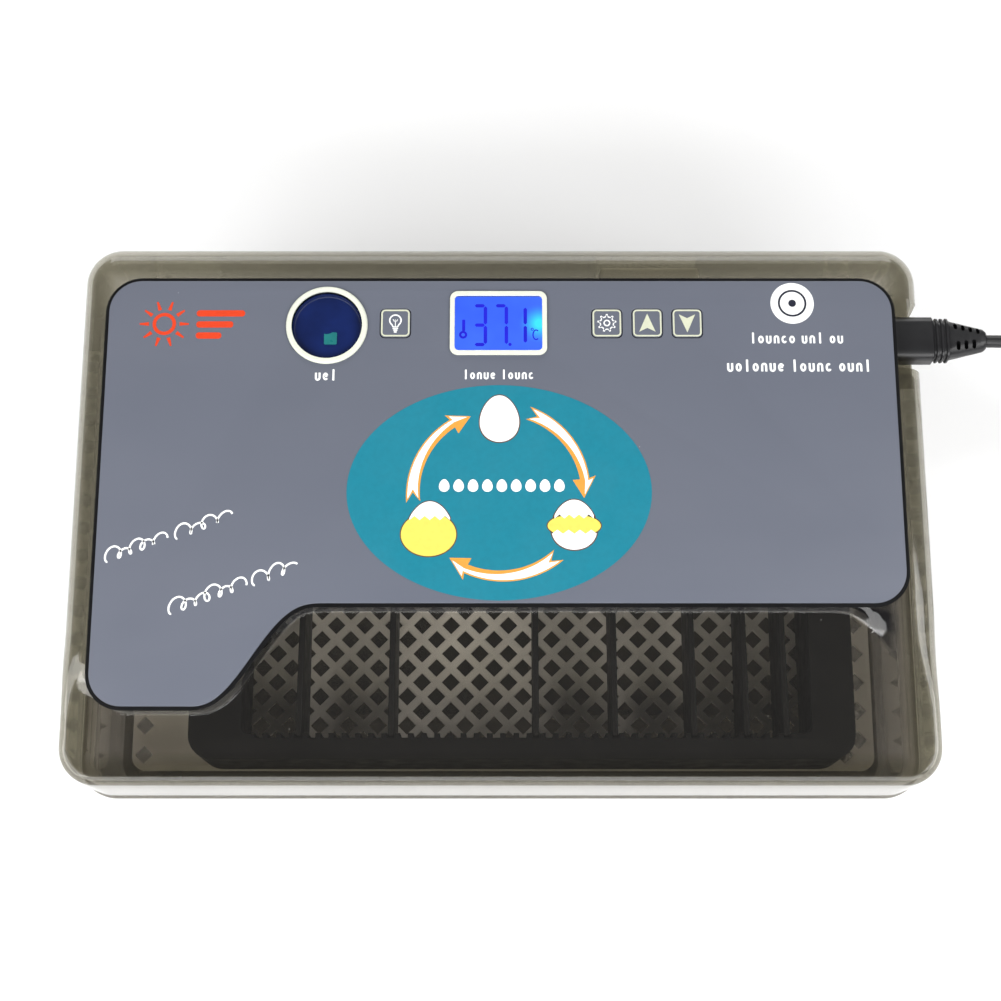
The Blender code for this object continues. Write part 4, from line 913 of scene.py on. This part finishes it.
def lid_plan():
    """Plan of the lid as points and lines: rings of the rounded edge, rows along the step, the
    notch, the openings and a grid between."""
    points, lines = [], []

    def add(path, closed):
        start = len(points)
        points.extend(Vector(p) for p in path)
        lines.extend((start + i, start + i + 1) for i in range(len(path) - 1))
        if closed:
            lines.append((start + len(path) - 1, start))

    rings = 14
    for i in range(rings + 1):
        inward = LID_FILLET * (1 - math.cos(math.pi / 2 * i / rings))
        outline = rounded_rect(LID_X - 2 * inward, LID_Y - 2 * inward, LID_CORNER - inward, steps=14)
        add(resample(outline, 3.0), True)
    end = LID_X / 2
    across = [-end + LID_X * i / 220 for i in range(221)]
    for i in range(9):
        share = (1 - math.cos(math.pi * i / 8)) / 2
        path = []
        for x in across:
            path.append((x, between(step_top_y(x), step_bottom_y(x), share)))
        add(path, False)
    for inward in (0, NOTCH_DRAFT / 2, NOTCH_DRAFT):
        add([(end, NOTCH_Y[0] + inward), (NOTCH_X + inward, NOTCH_Y[0] + inward),
             (NOTCH_X + inward, NOTCH_Y[1] - inward), (end, NOTCH_Y[1] - inward)], False)
    for loop in lid_openings():
        add(loop, True)
    count_x, count_y = 88, 54
    for i in range(count_x + 1):
        for j in range(count_y + 1):
            x = -end + 11 + (LID_X - 22) * i / count_x
            y = -LID_Y / 2 + 11 + (LID_Y - 22) * j / count_y
            if outline_distance(x, y) > LID_FILLET + 0.5:
                points.append(Vector((x, y)))
    return points, lines


def make_lid():
    """Smoky lid: a fine surface over its plan, drawn down to the skirt and given its wall."""
    points, lines = lid_plan()
    places, _, faces, _, _, _ = delaunay_2d_cdt(points, lines, [], 0, 1e-4)
    work = bmesh.new()
    verts = [work.verts.new((p.x * mm, p.y * mm, lid_height(p.x, p.y) * mm)) for p in places]
    for face in faces:
        centre = sum((places[i] for i in face), Vector((0, 0))) / len(face)
        if not inside_opening(*centre):
            work.faces.new([verts[i] for i in face])
    loose = [v for v in work.verts if not v.link_faces]
    bmesh.ops.delete(work, geom=loose, context="VERTS")
    rim = [e for e in work.edges if e.is_boundary
           and all(outline_distance(v.co.x / mm, v.co.y / mm) < 0.01 for v in e.verts)]
    for z in (118, 106, 96.5, 94.6, 94.0, SKIRT_Z):
        flare = {94.0: 0.5, SKIRT_Z: 0.5}.get(z, 0.0)
        drawn = bmesh.ops.extrude_edge_only(work, edges=rim)["geom"]
        rim = [item for item in drawn if isinstance(item, bmesh.types.BMEdge)]
        for item in drawn:
            if isinstance(item, bmesh.types.BMVert):
                reach = LID_X / 2 - LID_CORNER, LID_Y / 2 - LID_CORNER
                out = Vector((item.co.x / mm, item.co.y / mm))
                anchor = Vector([max(-r, min(r, v)) for r, v in zip(reach, out)])
                direction = (out - anchor).normalized()
                spot = anchor + direction * (LID_CORNER + flare)
                item.co = (spot.x * mm, spot.y * mm, min(item.co.z / mm, z) * mm)
    bmesh.ops.recalc_face_normals(work, faces=work.faces)
    cover = link_mesh("lid_cover", to_mesh("lid_cover", work), 60)
    wall = cover.modifiers.new("wall", "SOLIDIFY")
    wall.thickness = LID_WALL * mm
    wall.offset = -1
    wall.use_even_offset = True
    wall.use_quality_normals = True
    cover = link_mesh("lid_cover", mesh_of(cover), 60)
    return finish_piece(cover, SMOKY_LID, "lid", ("lid_shell",))


def make_panel():
    """Grey film carrier with softly rounded edges, and a black bed that shows round it: partly a backing under
    the film, partly painted shade for the dark line along the panel's edge.
    """
    key_half = KEY_SIZE + 0.6
    holes = [rounded_rect(LCD_GLASS[0] + 0.6, LCD_GLASS[1] + 0.6, 1.2, LCD_AT, 6),
             circle(CANDLER_AT, CANDLER_LENS_R + 0.3, 64)]
    holes += [rounded_rect(key_half, key_half, 2.0, (x, KEY_Y), 6) for x in KEY_X.values()]
    panel = flat_piece("panel_film_carrier", [panel_outline(0)] + holes, PANEL_LOW_Z,
                       PANEL_TOP_Z - PANEL_LOW_Z, 0.18, 3)
    finish_piece(panel, FILM, "lid", ("control_panel",))
    # Black bed 1.5 mm wider than the panel: painted shade for the dark line round its edge, as well as a
    # backing.
    shade_bed_holes = [rounded_rect(LCD_GLASS[0] + 0.8, LCD_GLASS[1] + 0.8, 1.2, LCD_AT, 4),
                 circle(CANDLER_AT, CANDLER_LENS_R + 0.4, 48)]
    shade_bed_holes += [circle((x, KEY_Y), 2.6, 20) for x in KEY_X.values()]
    shade_bed = flat_piece("panel_shade_bed", [panel_outline(-1.5)] + shade_bed_holes, PLATEAU_Z + 0.02, 0.24)
    finish_piece(shade_bed, BLACK, "lid")


# ---------------------------------------------------------------- printing on the panel

def egg(centre, half_x, half_y, steps=64):
    """Egg outline, narrower at its top."""
    points = []
    for i in range(steps):
        angle = math.tau * i / steps
        x, y = math.cos(angle), math.sin(angle)
        points.append((centre[0] + half_x * x * (1 - 0.16 * y), centre[1] + half_y * y))
    return points


def on_circle(centre, radius, degrees):
    """Point at a radius and an angle."""
    angle = math.radians(degrees)
    return (centre[0] + radius * math.cos(angle), centre[1] + radius * math.sin(angle))


def arrow_band(centre, radii, start, end, notch):
    """Band along a circle from a forked tail; radii are its outer and inner ones at both ends."""
    (out_start, in_start), (out_end, in_end) = radii
    steps = 24
    outer, inner = [], []
    for i in range(steps + 1):
        share = i / steps
        degrees = between(start, end, share)
        outer.append(on_circle(centre, between(out_start, out_end, share), degrees))
        inner.append(on_circle(centre, between(in_start, in_end, share), degrees))
    fork = on_circle(centre, (out_start + in_start) / 2, start + notch * (1 if end > start else -1))
    return outer, inner, fork


def curved_arrow(centre, start, end):
    """Arrow along a circle: the whole outline, and the paler stripe along its outer side."""
    sign = 1 if end > start else -1
    outer, inner, fork = arrow_band(centre, ((36.0, 30.6), (34.6, 31.0)), start, end, 6.5)
    tip = on_circle(centre, 32.2, end + 13.5 * sign)
    whole = outer + [on_circle(centre, 37.2, end - 1.0 * sign), tip]
    whole += [on_circle(centre, 28.2, end - 0.5 * sign)] + inner[::-1] + [fork]
    radii = ((35.4, 31.2), (34.0, 32.9))
    outer, inner, fork = arrow_band(centre, radii, start + 2.2 * sign, end + 1.5 * sign, 6.5)
    stripe = outer + [on_circle(centre, 36.0, end + 0.6 * sign), on_circle(centre, 32.4, end + 11.0 * sign)]
    stripe += inner[::-1] + [fork]
    return whole, stripe


def zigzag(left, right, y, height, teeth):
    """Broken edge of an eggshell from left to right."""
    points = []
    for i in range(2 * teeth + 1):
        points.append((between(left, right, i / (2 * teeth)), y + (height if i % 2 else 0)))
    return points


def shell_part(centre, half_x, half_y, cut, upper, teeth=4, tooth=1.6):
    """One side of a broken egg: the outline above or below a zigzag at a height."""
    whole = egg(centre, half_x, half_y, 96)
    side = [p for p in whole if (p[1] > cut + tooth / 2) == upper]
    left = min(p[0] for p in side)
    right = max(p[0] for p in side)
    edge = zigzag(left, right, cut, tooth, teeth)
    ordered = sorted(side, key=lambda p: math.atan2(p[1] - centre[1], p[0] - centre[0]))
    if upper:
        return ordered + edge
    return ordered + edge[::-1]


GLYPHS = "uolonuelouncounlouo"


def glyph(kind, x, y, h):
    """Outline groups of one made-up letter-like sign, h tall, that spells nothing."""
    pen, half = 0.17 * h, 0.24 * h
    bowl = y - 0.14 * h
    if kind == "o":
        inner = ellipse((x, bowl), half - pen, 0.34 * h - pen, 24)
        return [[ellipse((x, bowl), half, 0.34 * h, 24), inner]]
    if kind == "l":
        return [[rounded_rect(pen, h, pen * 0.3, (x, y), 3)]]
    if kind == "c" or kind == "e":
        opening = 52 if kind == "c" else 20
        curve = [(x + (half - pen / 2) * math.cos(math.radians(a)),
                  bowl + (0.34 * h - pen / 2) * math.sin(math.radians(a))) for a in range(opening, 330, 12)]
        groups = [[stroke(curve, pen)]]
        if kind == "e":
            groups.append([rounded_rect(2 * half - pen, pen * 0.8, pen * 0.3, (x, y - 0.12 * h), 3)])
        return groups
    sign = 1 if kind == "n" else -1
    path = [(x - half + pen / 2, bowl - sign * 0.34 * h), (x - half + pen / 2, bowl + sign * 0.12 * h)]
    path += [(x - (half - pen / 2) * math.cos(math.radians(a)),
              bowl + sign * (0.12 * h + 0.17 * h * math.sin(math.radians(a)))) for a in range(20, 161, 20)]
    path += [(x + half - pen / 2, bowl + sign * 0.12 * h), (x + half - pen / 2, bowl - sign * 0.34 * h)]
    return [[stroke(path, pen)]]


def glyph_row(centre_x, y, words, height, first=0):
    """Row of made-up signs in words of given lengths, centred on a place."""
    pitch = 0.66 * height
    total = (sum(words) + 0.6 * (len(words) - 1)) * pitch
    x = centre_x - total / 2 + pitch / 2
    groups, index = [], first
    for word in words:
        for _ in range(word):
            groups += glyph(GLYPHS[index % len(GLYPHS)], x, y, height)
            index += 1
            x += pitch
        x += 0.6 * pitch
    return groups


def pen_line(start, end, height, waves):
    """Flowing line of joined loops that spells nothing, as a pen draws it, from start to end."""
    along = Vector(end) - Vector(start)
    across = Vector((-along.y, along.x)).normalized()
    slant = along.normalized()
    path = []
    steps = 26 * waves
    for i in range(steps + 1):
        share = i / steps
        phase = math.tau * waves * share
        tall = height * (0.55 + 0.45 * abs(math.sin(2.2 * share * math.pi + 0.9)) ** 3)
        spot = Vector(start) + along * share + across * tall * (0.5 - 0.5 * math.cos(phase))
        spot -= slant * tall * 0.42 * math.sin(phase)
        spot += slant * 0.25 * (spot - Vector(start) - along * share).dot(across)
        path.append((spot.x, spot.y))
    return path


def ribbon(path, width):
    """Pieces of a drawn line short enough that none crosses itself."""
    length = 9
    return [[stroke(path[i:i + length + 1], width)] for i in range(0, len(path) - length, length)]


def make_panel_prints():
    """Everything printed on the film, in plain shapes."""
    centre = (-0.2, 4.0)
    layers = [PRINT_Z + 0.06 * i for i in range(4)]
    print_piece("print_teal_field", [[ellipse((-0.5, 4.2), 58.3, 42.6, 128)]], INK_TEAL, z=layers[0])
    top_egg, right_egg, left_egg = (-0.4, 33.2), (28.0, -9.0), (-27.3, -10.4)

    rims = [[egg(top_egg, 7.9, 9.8)], [shell_part(right_egg, 9.0, 10.2, 2.2 + right_egg[1], True)],
            [shell_part(right_egg, 9.0, 10.2, -3.2 + right_egg[1], False)],
            [ellipse((right_egg[0], right_egg[1] - 0.4), 10.5, 4.7, 48)],
            [ellipse((left_egg[0], left_egg[1] - 2.4), 10.9, 8.9, 64)],
            [shell_part((left_egg[0] + 0.4, left_egg[1]), 9.3, 10.9, 2.8 + left_egg[1], True)]]
    arrows = [curved_arrow(centre, 187, 124), curved_arrow(centre, 71, 9), curved_arrow(centre, -48, -113)]
    print_piece("print_brown_rims", rims, INK_BROWN, z=layers[1])
    print_piece("print_arrow_fills", [[whole] for whole, _ in arrows], INK_ORANGE, z=layers[1])
    print_piece("print_arrow_stripes", [[stripe] for _, stripe in arrows], INK_WHITE, z=layers[2])
    yellows = [[ellipse((right_egg[0], right_egg[1] - 0.4), 10.1, 4.3, 48)],
               [ellipse((left_egg[0], left_egg[1] - 2.4), 10.5, 8.5, 64)]]
    print_piece("print_yellow_fills", yellows, INK_YELLOW, z=layers[2])
    whites = [[egg(top_egg, 7.5, 9.4)], [shell_part(right_egg, 8.6, 9.8, 2.4 + right_egg[1], True)],
              [shell_part(right_egg, 8.6, 9.8, -3.6 + right_egg[1], False)],
              [shell_part((left_egg[0] + 0.4, left_egg[1]), 8.9, 10.5, 3.2 + left_egg[1], True)]]
    whites += [[egg((0.5 + (i - 4) * 5.5, 6.4), 2.0, 2.5, 28)] for i in range(9)]
    print_piece("print_white_shells", whites, INK_WHITE, z=layers[3])

    print_piece("print_disc", [[circle((114.4, 80.6), 8.5, 64)]], INK_WHITE)
    print_piece("print_disc_ring", [[circle((114.4, 80.6), 5.6, 48), circle((114.4, 80.6), 4.8, 48)],
                                    [circle((114.4, 80.6), 1.5, 32)]], INK_DARK, z=layers[1])
    lines = glyph_row(-67.9, 51.0, (3,), 4.6, 5)
    lines += glyph_row(-0.8, 51.2, (5, 5), 4.0, 2)
    lines += glyph_row(115.6, 66.2, (6, 3, 2), 4.6, 7)
    lines += glyph_row(116.0, 54.8, (7, 5, 4), 5.0)
    lines += ribbon(pen_line((-148.5, -23.5), (-127, -15.5), 5.0, 5), 0.75)
    lines += ribbon(pen_line((-122.5, -14.5), (-102.5, -6.5), 5.0, 4), 0.75)
    lines += ribbon(pen_line((-123.5, -43.5), (-96.5, -33.5), 5.4, 6), 0.75)
    lines += ribbon(pen_line((-92.5, -32.5), (-77, -26.5), 5.4, 3), 0.75)
    print_piece("print_white_lines", lines, INK_WHITE)

    sun = (-131.5, 72.0)
    mark = [[circle(sun, 4.6, 40), circle(sun, 3.2, 40)]]
    for i in range(10):
        near, far = on_circle(sun, 6.0, 36 * i), on_circle(sun, 9.6, 36 * i)
        mark.append([stroke([near, far], 1.5, 0.45)])
    for i, length in enumerate((19.0, 14.5, 10.0)):
        mark.append([rounded_rect(length, 2.6, 1.2, (-119 + length / 2, 76.4 - 4.6 * i), 6)])
    print_piece("print_red_mark", mark, INK_RED)


def key_outline(inset):
    """Key's rounded square about its middle."""
    return rounded_rect(KEY_SIZE - 2 * inset, KEY_SIZE - 2 * inset, max(0.4, 1.9 - inset), (0, 0), 8)


def bulb_icon():
    """Lamp with its cap and filament."""
    glass = arc((0, 1.1), 2.5, -52, 232, 30) + [(-1.1, -1.7), (1.1, -1.7)]
    inner = arc((0, 1.1), 1.95, -52, 232, 30) + [(-0.7, -1.4), (0.7, -1.4)]
    groups = [[glass, inner]]
    groups.append([stroke([(-0.9, 1.5), (-0.45, 0.6), (0, 1.4), (0.45, 0.6), (0.9, 1.5)], 0.32)])
    groups.append([stroke([(0, 0.8), (0, -1.5)], 0.3)])
    for i in range(3):
        groups.append([rounded_rect(2.2 - 0.5 * i, 0.55, 0.2, (0, -2.2 - 0.75 * i), 3)])
    return groups


def gear_icon():
    """Cog wheel outline with a hub."""
    rim, inner = [], []
    teeth = 9
    for i in range(teeth):
        for share, radius in ((0.0, 2.85), (0.12, 3.75), (0.38, 3.75), (0.5, 2.85)):
            angle = math.tau * (i + share) / teeth
            rim.append((radius * math.cos(angle), radius * math.sin(angle)))
        for share, radius in ((0.04, 2.4), (0.14, 3.25), (0.36, 3.25), (0.46, 2.4)):
            angle = math.tau * (i + share) / teeth
            inner.append((radius * math.cos(angle), radius * math.sin(angle)))
    return [[rim, inner], [circle((0, 0), 1.35, 28), circle((0, 0), 0.85, 28)]]


def arrow_icon(sign):
    """Arrowhead with a notched tail, pointing up or down."""
    return [[(0, 3.9 * sign), (3.2, -3.6 * sign), (0, -2.0 * sign), (-3.2, -3.6 * sign)]]


def on_key(loop, key_x):
    """Loop moved onto a key."""
    return [(x + key_x, y + KEY_Y) for x, y in loop]


def make_keys():
    """Four soft key caps with a printed border and an icon."""
    icons = {"key_light": bulb_icon(), "key_set": gear_icon(), "key_up": [arrow_icon(1)],
             "key_down": [arrow_icon(-1)]}
    for name, key_x in KEY_X.items():
        cap = flat_piece(name + "_cap", [on_key(key_outline(0), key_x)], KEY_LOW_Z, KEY_HEIGHT, 0.16, 3)
        profile = [(0, 141.8), (1.8, 141.8), (1.8, 135.9), (1.6, 135.7), (0, 135.7)]
        stem = turned("stem", profile, (key_x, KEY_Y, 0), 20)
        cap = link_mesh(name + "_cap", joined("cap", (cap.data, stem.data)))
        finish_piece(cap, FILM, name, (name,))
        border = [[on_key(key_outline(0.25), key_x), on_key(key_outline(0.85), key_x)]]
        top = KEY_LOW_Z + KEY_HEIGHT + 0.01
        print_piece(name + "_border", border, INK_IVORY, body=name, z=top)
        groups = [[on_key(loop, key_x) for loop in loops] for loops in icons[name]]
        ink = INK_IVORY if name in ("key_up", "key_down") else INK_WHITE
        print_piece(name + "_icon", groups, ink, body=name, z=top)


# ---------------------------------------------------------------- display and candling lamp

SEGMENTS = {"1": "bc", "3": "abgcd", "7": "abc"}


def digit_segments(text, at, width, height, thick):
    """Outlines of one seven-segment digit, its bars pointed at both ends."""
    half = thick / 2
    gap = 0.22
    w, h = width / 2, height / 2
    flat = ((-1, 0), (-1 + thick / width, 1), (1 - thick / width, 1), (1, 0), (1 - thick / width, -1),
            (-1 + thick / width, -1))
    bars_at = {"a": (0, h), "g": (0, 0), "d": (0, -h)}
    posts_at = {"b": (w, h / 2), "c": (w, -h / 2), "f": (-w, h / 2), "e": (-w, -h / 2)}
    groups = []
    for segment in SEGMENTS[text]:
        loop = []
        if segment in bars_at:
            cx, cy = bars_at[segment]
            for u, v in flat:
                loop.append((cx + u * (w - gap), cy + v * half))
        else:
            cx, cy = posts_at[segment]
            long = h / 2 - gap
            for v, u in ((-1, 0), (-1 + thick / h, 1), (1 - thick / h, 1), (1, 0), (1 - thick / h, -1),
                         (-1 + thick / h, -1)):
                loop.append((cx + u * half, cy + v * long))
        groups.append([[(at[0] + x, at[1] + y) for x, y in loop]])
    return groups


def make_display():
    """Frame, backlit glass and digits of the display."""
    node = NODES["lcd_module"]
    node.data.materials.clear()
    node.data.materials.append(DISPLAY)
    cx, cy = LCD_AT
    frame_outer = rounded_rect(38.0, 26.5, 3.2, LCD_AT, 10)
    frame_inner = rounded_rect(LCD_GLASS[0] + 0.2, LCD_GLASS[1] + 0.2, 1.6, LCD_AT, 10)
    bezel = flat_piece("display_bezel", [frame_outer, frame_inner], PANEL_TOP_Z + 0.05, 0.75, 0.25, 3)
    finish_piece(bezel, IVORY, "lid", ("lcd_frame",))
    groups = []
    for text, x in (("3", -7.3), ("7", 0.9)):
        groups += digit_segments(text, (cx + x, cy - 0.7), 4.4, 16.1, 1.35)
    groups += digit_segments("1", (cx + 8.3, cy - 0.7), 4.4, 15.0, 1.35)
    groups.append([circle((cx + 4.5, cy - 8.7), 0.65, 16)])
    groups.append([circle((cx + 13.2, cy - 2.4), 0.6, 20), circle((cx + 13.2, cy - 2.4), 0.3, 20)])
    unit_sign = []
    for a in range(50, 311, 20):
        angle = math.radians(a)
        unit_sign.append((cx + 14.7 + 1.2 * math.cos(angle), cy - 4.7 + 2.0 * math.sin(angle)))
    groups.append([stroke(unit_sign, 0.5)])
    bulb = (cx - 13.8, cy - 4.7)
    groups.append([circle(bulb, 1.6, 24), circle(bulb, 0.7, 24)])
    groups.append([rounded_rect(1.2, 4.8, 0.4, (bulb[0] + 0.2, bulb[1] + 3.9), 4)])
    print_piece("display_digits", groups, DIGIT_INK, z=DIGITS_Z)


def make_candler():
    """Ivory ring, blue lens and the lamp chip of the candling light."""
    profile = [(CANDLER_LENS_R + 0.1, PANEL_TOP_Z + 0.05), (CANDLER_LENS_R + 0.1, 142.95)]
    profile += [(CANDLER_R - 0.9 + 0.9 * math.sin(a), 142.3 + 0.9 * math.cos(a))
                for a in [math.radians(10 * i) for i in range(10)]]
    profile.append((CANDLER_R, PANEL_TOP_Z + 0.05))
    ring_piece = turned("lamp_ring", profile[::-1], (*CANDLER_AT, 0), 96, closed=True)
    finish_piece(ring_piece, IVORY, "lid", ("candler_ring",))
    rim_z, rise, spread = 140.6, 1.5, math.radians(24)
    dome = []
    for degrees in range(0, 25, 2):
        a = math.radians(degrees)
        height = rise * (math.cos(a) - math.cos(spread)) / (1 - math.cos(spread))
        dome.append((CANDLER_LENS_R * math.sin(a) / math.sin(spread), rim_z + height))
    dome += [(CANDLER_LENS_R - 0.1, rim_z - 1), (0, rim_z - 1)]
    lens = turned("lamp_lens", dome, (*CANDLER_AT, 0), 96)
    finish_piece(lens, LENS_BLUE, "lid", ("candler_lens",))
    chip_at = (CANDLER_AT[0] + 1.5, CANDLER_AT[1] - 5.4)
    chip = rounded_rect(5.0, 5.0, 0.5, chip_at, 4)
    print_piece("lamp_chip_glow", [[chip]], LED_GREEN, z=CHIP_Z)


# ---------------------------------------------------------------- egg frame, dividers, mesh floor, tub

def make_egg_frame():
    """Black sliding frame with slotted rails and rounded edges."""
    outer = rounded_rect(FRAME_X[1] - FRAME_X[0], 2 * FRAME_Y, 10, ((FRAME_X[0] + FRAME_X[1]) / 2, 0), 12)
    front = []
    deep = BAY_Y + SLOT_DEPTH
    for index in reversed(range(SLOT_COUNT)):
        middle = FIRST_SLOT_X - index * SLOT_PITCH
        left, right = middle - SLOT_WIDTH / 2, middle + SLOT_WIDTH / 2
        front += [(left, -BAY_Y), (left, -deep), (right, -deep), (right, -BAY_Y)]
    corner = 3.0
    bay = arc((BAY_X[0] + corner, -BAY_Y + corner), corner, 180, 270, 6) + front
    bay += arc((BAY_X[1] - corner, -BAY_Y + corner), corner, 270, 360, 6)
    bay += arc((BAY_X[1] - corner, BAY_Y - corner), corner, 0, 90, 6)
    bay += [(x, -y) for x, y in reversed(front)]
    bay += arc((BAY_X[0] + corner, BAY_Y - corner), corner, 90, 180, 6)
    piece = flat_piece("egg_carrier", [outer, bay], FRAME_Z, FRAME_HEIGHT, 0.5, 3)
    wall = 2.5
    low, high = FRAME_Z - 1, FRAME_Z + FRAME_HEIGHT - wall
    rail_low, rail_high = deep + 2, FRAME_Y - wall
    hollows = [((FRAME_X[0] + wall, -75), (BAY_X[0] - wall, 75)),
               ((BAY_X[1] + wall, -75), (FRAME_X[1] - wall, 75)),
               ((BAY_X[0], -rail_high), (BAY_X[1], -rail_low)),
               ((BAY_X[0], rail_low), (BAY_X[1], rail_high))]
    cutters = []
    for (x0, y0), (x1, y1) in hollows:
        outline = rounded_rect(x1 - x0, y1 - y0, 1.0, ((x0 + x1) / 2, (y0 + y1) / 2), 3)
        cutters.append(loft("hollow", [at_height(outline, low), at_height(outline, high)]))
    piece = cut_with(piece, cutters)
    finish_piece(piece, BLACK, "egg_frame", ("egg_frame",))


def make_dividers():
    """Loose dividers with rounded edges: the top falls from both ends to a rounded bump halfway."""
    reach = BAY_Y + SLOT_DEPTH - 0.4
    height = FRAME_HEIGHT - 1
    half_bump, rise = 14, 6
    bump = [(between(half_bump, -half_bump, i / 16), height - rise / 2 * (1 - math.cos(math.pi * (i / 8 - 1))))
            for i in range(17)]
    outline = [(-reach, 0), (reach, 0), (reach, height - 2), (reach - 0.6, height - 0.6), (reach - 2, height)]
    outline += bump
    outline += [(-reach + 2, height), (-reach + 0.6, height - 0.6), (-reach, height - 2)]
    turn = rotation("Z", 90) @ rotation("X", 90)
    for number, index in enumerate(DIVIDER_SLOTS):
        x = FIRST_SLOT_X - index * SLOT_PITCH - DIVIDER_THICKNESS / 2
        name = f"divider_{number + 1}"
        plate = flat_mesh([outline], DIVIDER_THICKNESS, 0.4)
        piece = placed_piece(name + "_plate", plate, (x, 0, FRAME_Z + 0.5), turn)
        finish_piece(piece, BLACK, name, (name,))


def base_outline(z, inset=0.0, steps=14):
    """Outside of the tub's leaning wall at a height, less an inset."""
    lean = BASE_DRAFT * (z - BASE_BOTTOM_Z) / (LEDGE_Z - BASE_BOTTOM_Z)
    grow = lean - inset
    return rounded_rect(BASE_X + 2 * grow, BASE_Y + 2 * grow, BASE_CORNER + grow, steps=steps)


def make_mesh_floor():
    """Raised floor: a pale diamond lattice with a plain band at its left, in a smoky border."""
    size_x, size_y, gap = 307.4, 184.0, 0.5
    middle = (1.1, 0)
    loops = [rounded_rect(size_x, size_y, 6, middle, 8)]
    band = [base_outline(MESH_Z, BASE_WALL + 1.0, 8),
            rounded_rect(size_x + gap, size_y + gap, 6, middle, 8)]
    border = flat_piece("floor_border", band, MESH_Z, MESH_THICKNESS, 0.3, 1)
    finish_piece(border, SMOKY_TUB, "base")
    half = (LATTICE_PITCH - LATTICE_BAR * math.sqrt(2)) / 2
    step = LATTICE_PITCH / 2
    limit_x, limit_y = 153.6, 91.0
    for i in range(-40, 20):
        for j in range(-10, 28):
            x, y = LATTICE_AT[0] + i * step, LATTICE_AT[1] + j * step
            over_band = SOLID_BAND_X[0] - half < x < SOLID_BAND_X[1] + half
            if (i + j) % 2 or abs(x) > limit_x - half or abs(y) > limit_y - half or over_band:
                continue
            loops.append([(x + half, y), (x, y + half), (x - half, y), (x, y - half)])
    floor = flat_piece("lattice_floor", loops, MESH_Z, MESH_THICKNESS, 0.3, 1)
    finish_piece(floor, MESH_WHITE, "base", ("mesh_floor",))


def make_tub():
    """Smoky tub with softly rounded edges, its water ribs and the pillars under the mesh floor."""
    lip_x, lip_y = LID_X - 2 * LID_WALL - 3, LID_Y - 2 * LID_WALL - 3

    def ledge(inset):
        return rounded_rect(LID_X + 1 - 2 * inset, LID_Y + 1 - 2 * inset, LID_CORNER + 0.5 - inset, steps=14)

    def lip(inset):
        return rounded_rect(lip_x - 2 * inset, lip_y - 2 * inset, LID_CORNER - 3.5 - inset * 1.1, steps=14)

    sections = []
    for i in range(7):
        angle = math.pi / 2 * i / 6
        z = BASE_BOTTOM_Z + 5 * (1 - math.cos(angle))
        sections.append(at_height(base_outline(z, 5 * (1 - math.sin(angle))), z))
    for z in (30, 60, 85.5, 87.2):
        sections.append(at_height(base_outline(z), z))
    sections.append(at_height(base_outline(LEDGE_Z, -0.6), LEDGE_Z))
    for inset, z in ((0.8, LEDGE_Z), (0.2, LEDGE_Z + 0.25), (0, LEDGE_Z + 0.9), (0, 90.9), (0.2, 91.5),
                     (0.8, LEDGE_TOP_Z)):
        sections.append(at_height(ledge(inset), z))
    for inset, z in ((0, LEDGE_TOP_Z), (0, 95.3), (0.5, LIP_Z), (BASE_WALL - 0.5, LIP_Z), (BASE_WALL, 95.3),
                     (BASE_WALL, LEDGE_Z)):
        sections.append(at_height(lip(inset), z))
    for z in (60, 30, 12, 8.6):
        sections.append(at_height(base_outline(z, BASE_WALL), z))
    for i in range(5):
        angle = math.pi / 2 * i / 4
        z = BASE_FLOOR_Z + 3 * (1 - math.sin(angle))
        sections.append(at_height(base_outline(z, BASE_WALL + 3 * (1 - math.cos(angle))), z))
    tub = loft("tub_body", sections, angle=40)
    finish_piece(tub, SMOKY_TUB, "base", ("base_tub",))
    for side, centre_x in (("left", -RIB_X), ("right", RIB_X)):
        loops = [rounded_rect(RIB_SIZE[0] - 2 * inset, RIB_SIZE[1] - 2 * inset, 12 - inset, (centre_x, 0), 8)
                 for inset in (0, 2)]
        rib = flat_piece(f"water_rib_{side}", loops, STANDING_Z, RIB_HEIGHT, 0.5)
        finish_piece(rib, SMOKY_TUB, "base")
    pillars = []
    for x, depth in PILLARS:
        for y in (-depth, depth):
            outline = rounded_rect(PILLAR_SIZE, PILLAR_SIZE, 1.5, (x, y), 4)
            pillars.append(flat_mesh([outline], PILLAR_HEIGHT, 0.4, 1))
    posts = placed_piece("floor_pillars", joined("floor_pillars", pillars), (0, 0, STANDING_Z))
    finish_piece(posts, SMOKY_TUB, "base")


# ---------------------------------------------------------------- solids that keep their shape

KEPT = {
    BLACK: ("control_housing", "fan_frame", "fan_guard", "fan_impeller", "power_inlet", "key_switch_1",
            "key_switch_2", "key_switch_3", "key_switch_4"),
    GEAR_WHITE: ("tray_rack", "turner_pinion", "turner_gearbox", "heater_clip_left", "heater_clip_right",
                 "power_supply"),
    STEEL: ("heater_ring", "temperature_probe", "housing_screw_1", "housing_screw_2", "housing_screw_3",
            "housing_screw_4"),
    PIN_METAL: ("plug_pin_1", "plug_pin_2"),
    BOARD: ("control_board",),
    LED_GREEN: ("candler_led",),
    RUBBER: ("foot_1", "foot_2", "foot_3", "foot_4"),
}


def dress_kept_nodes():
    """Give the solids that show as they are their detailed materials."""
    for material, names in KEPT.items():
        for name in names:
            node = NODES[name]
            node.data.materials.clear()
            node.data.materials.append(material)
            smooth(node.data)


make_lid()
make_panel()
make_panel_prints()
make_keys()
make_display()
make_candler()
make_egg_frame()
make_dividers()
make_mesh_floor()
make_tub()
dress_kept_nodes()
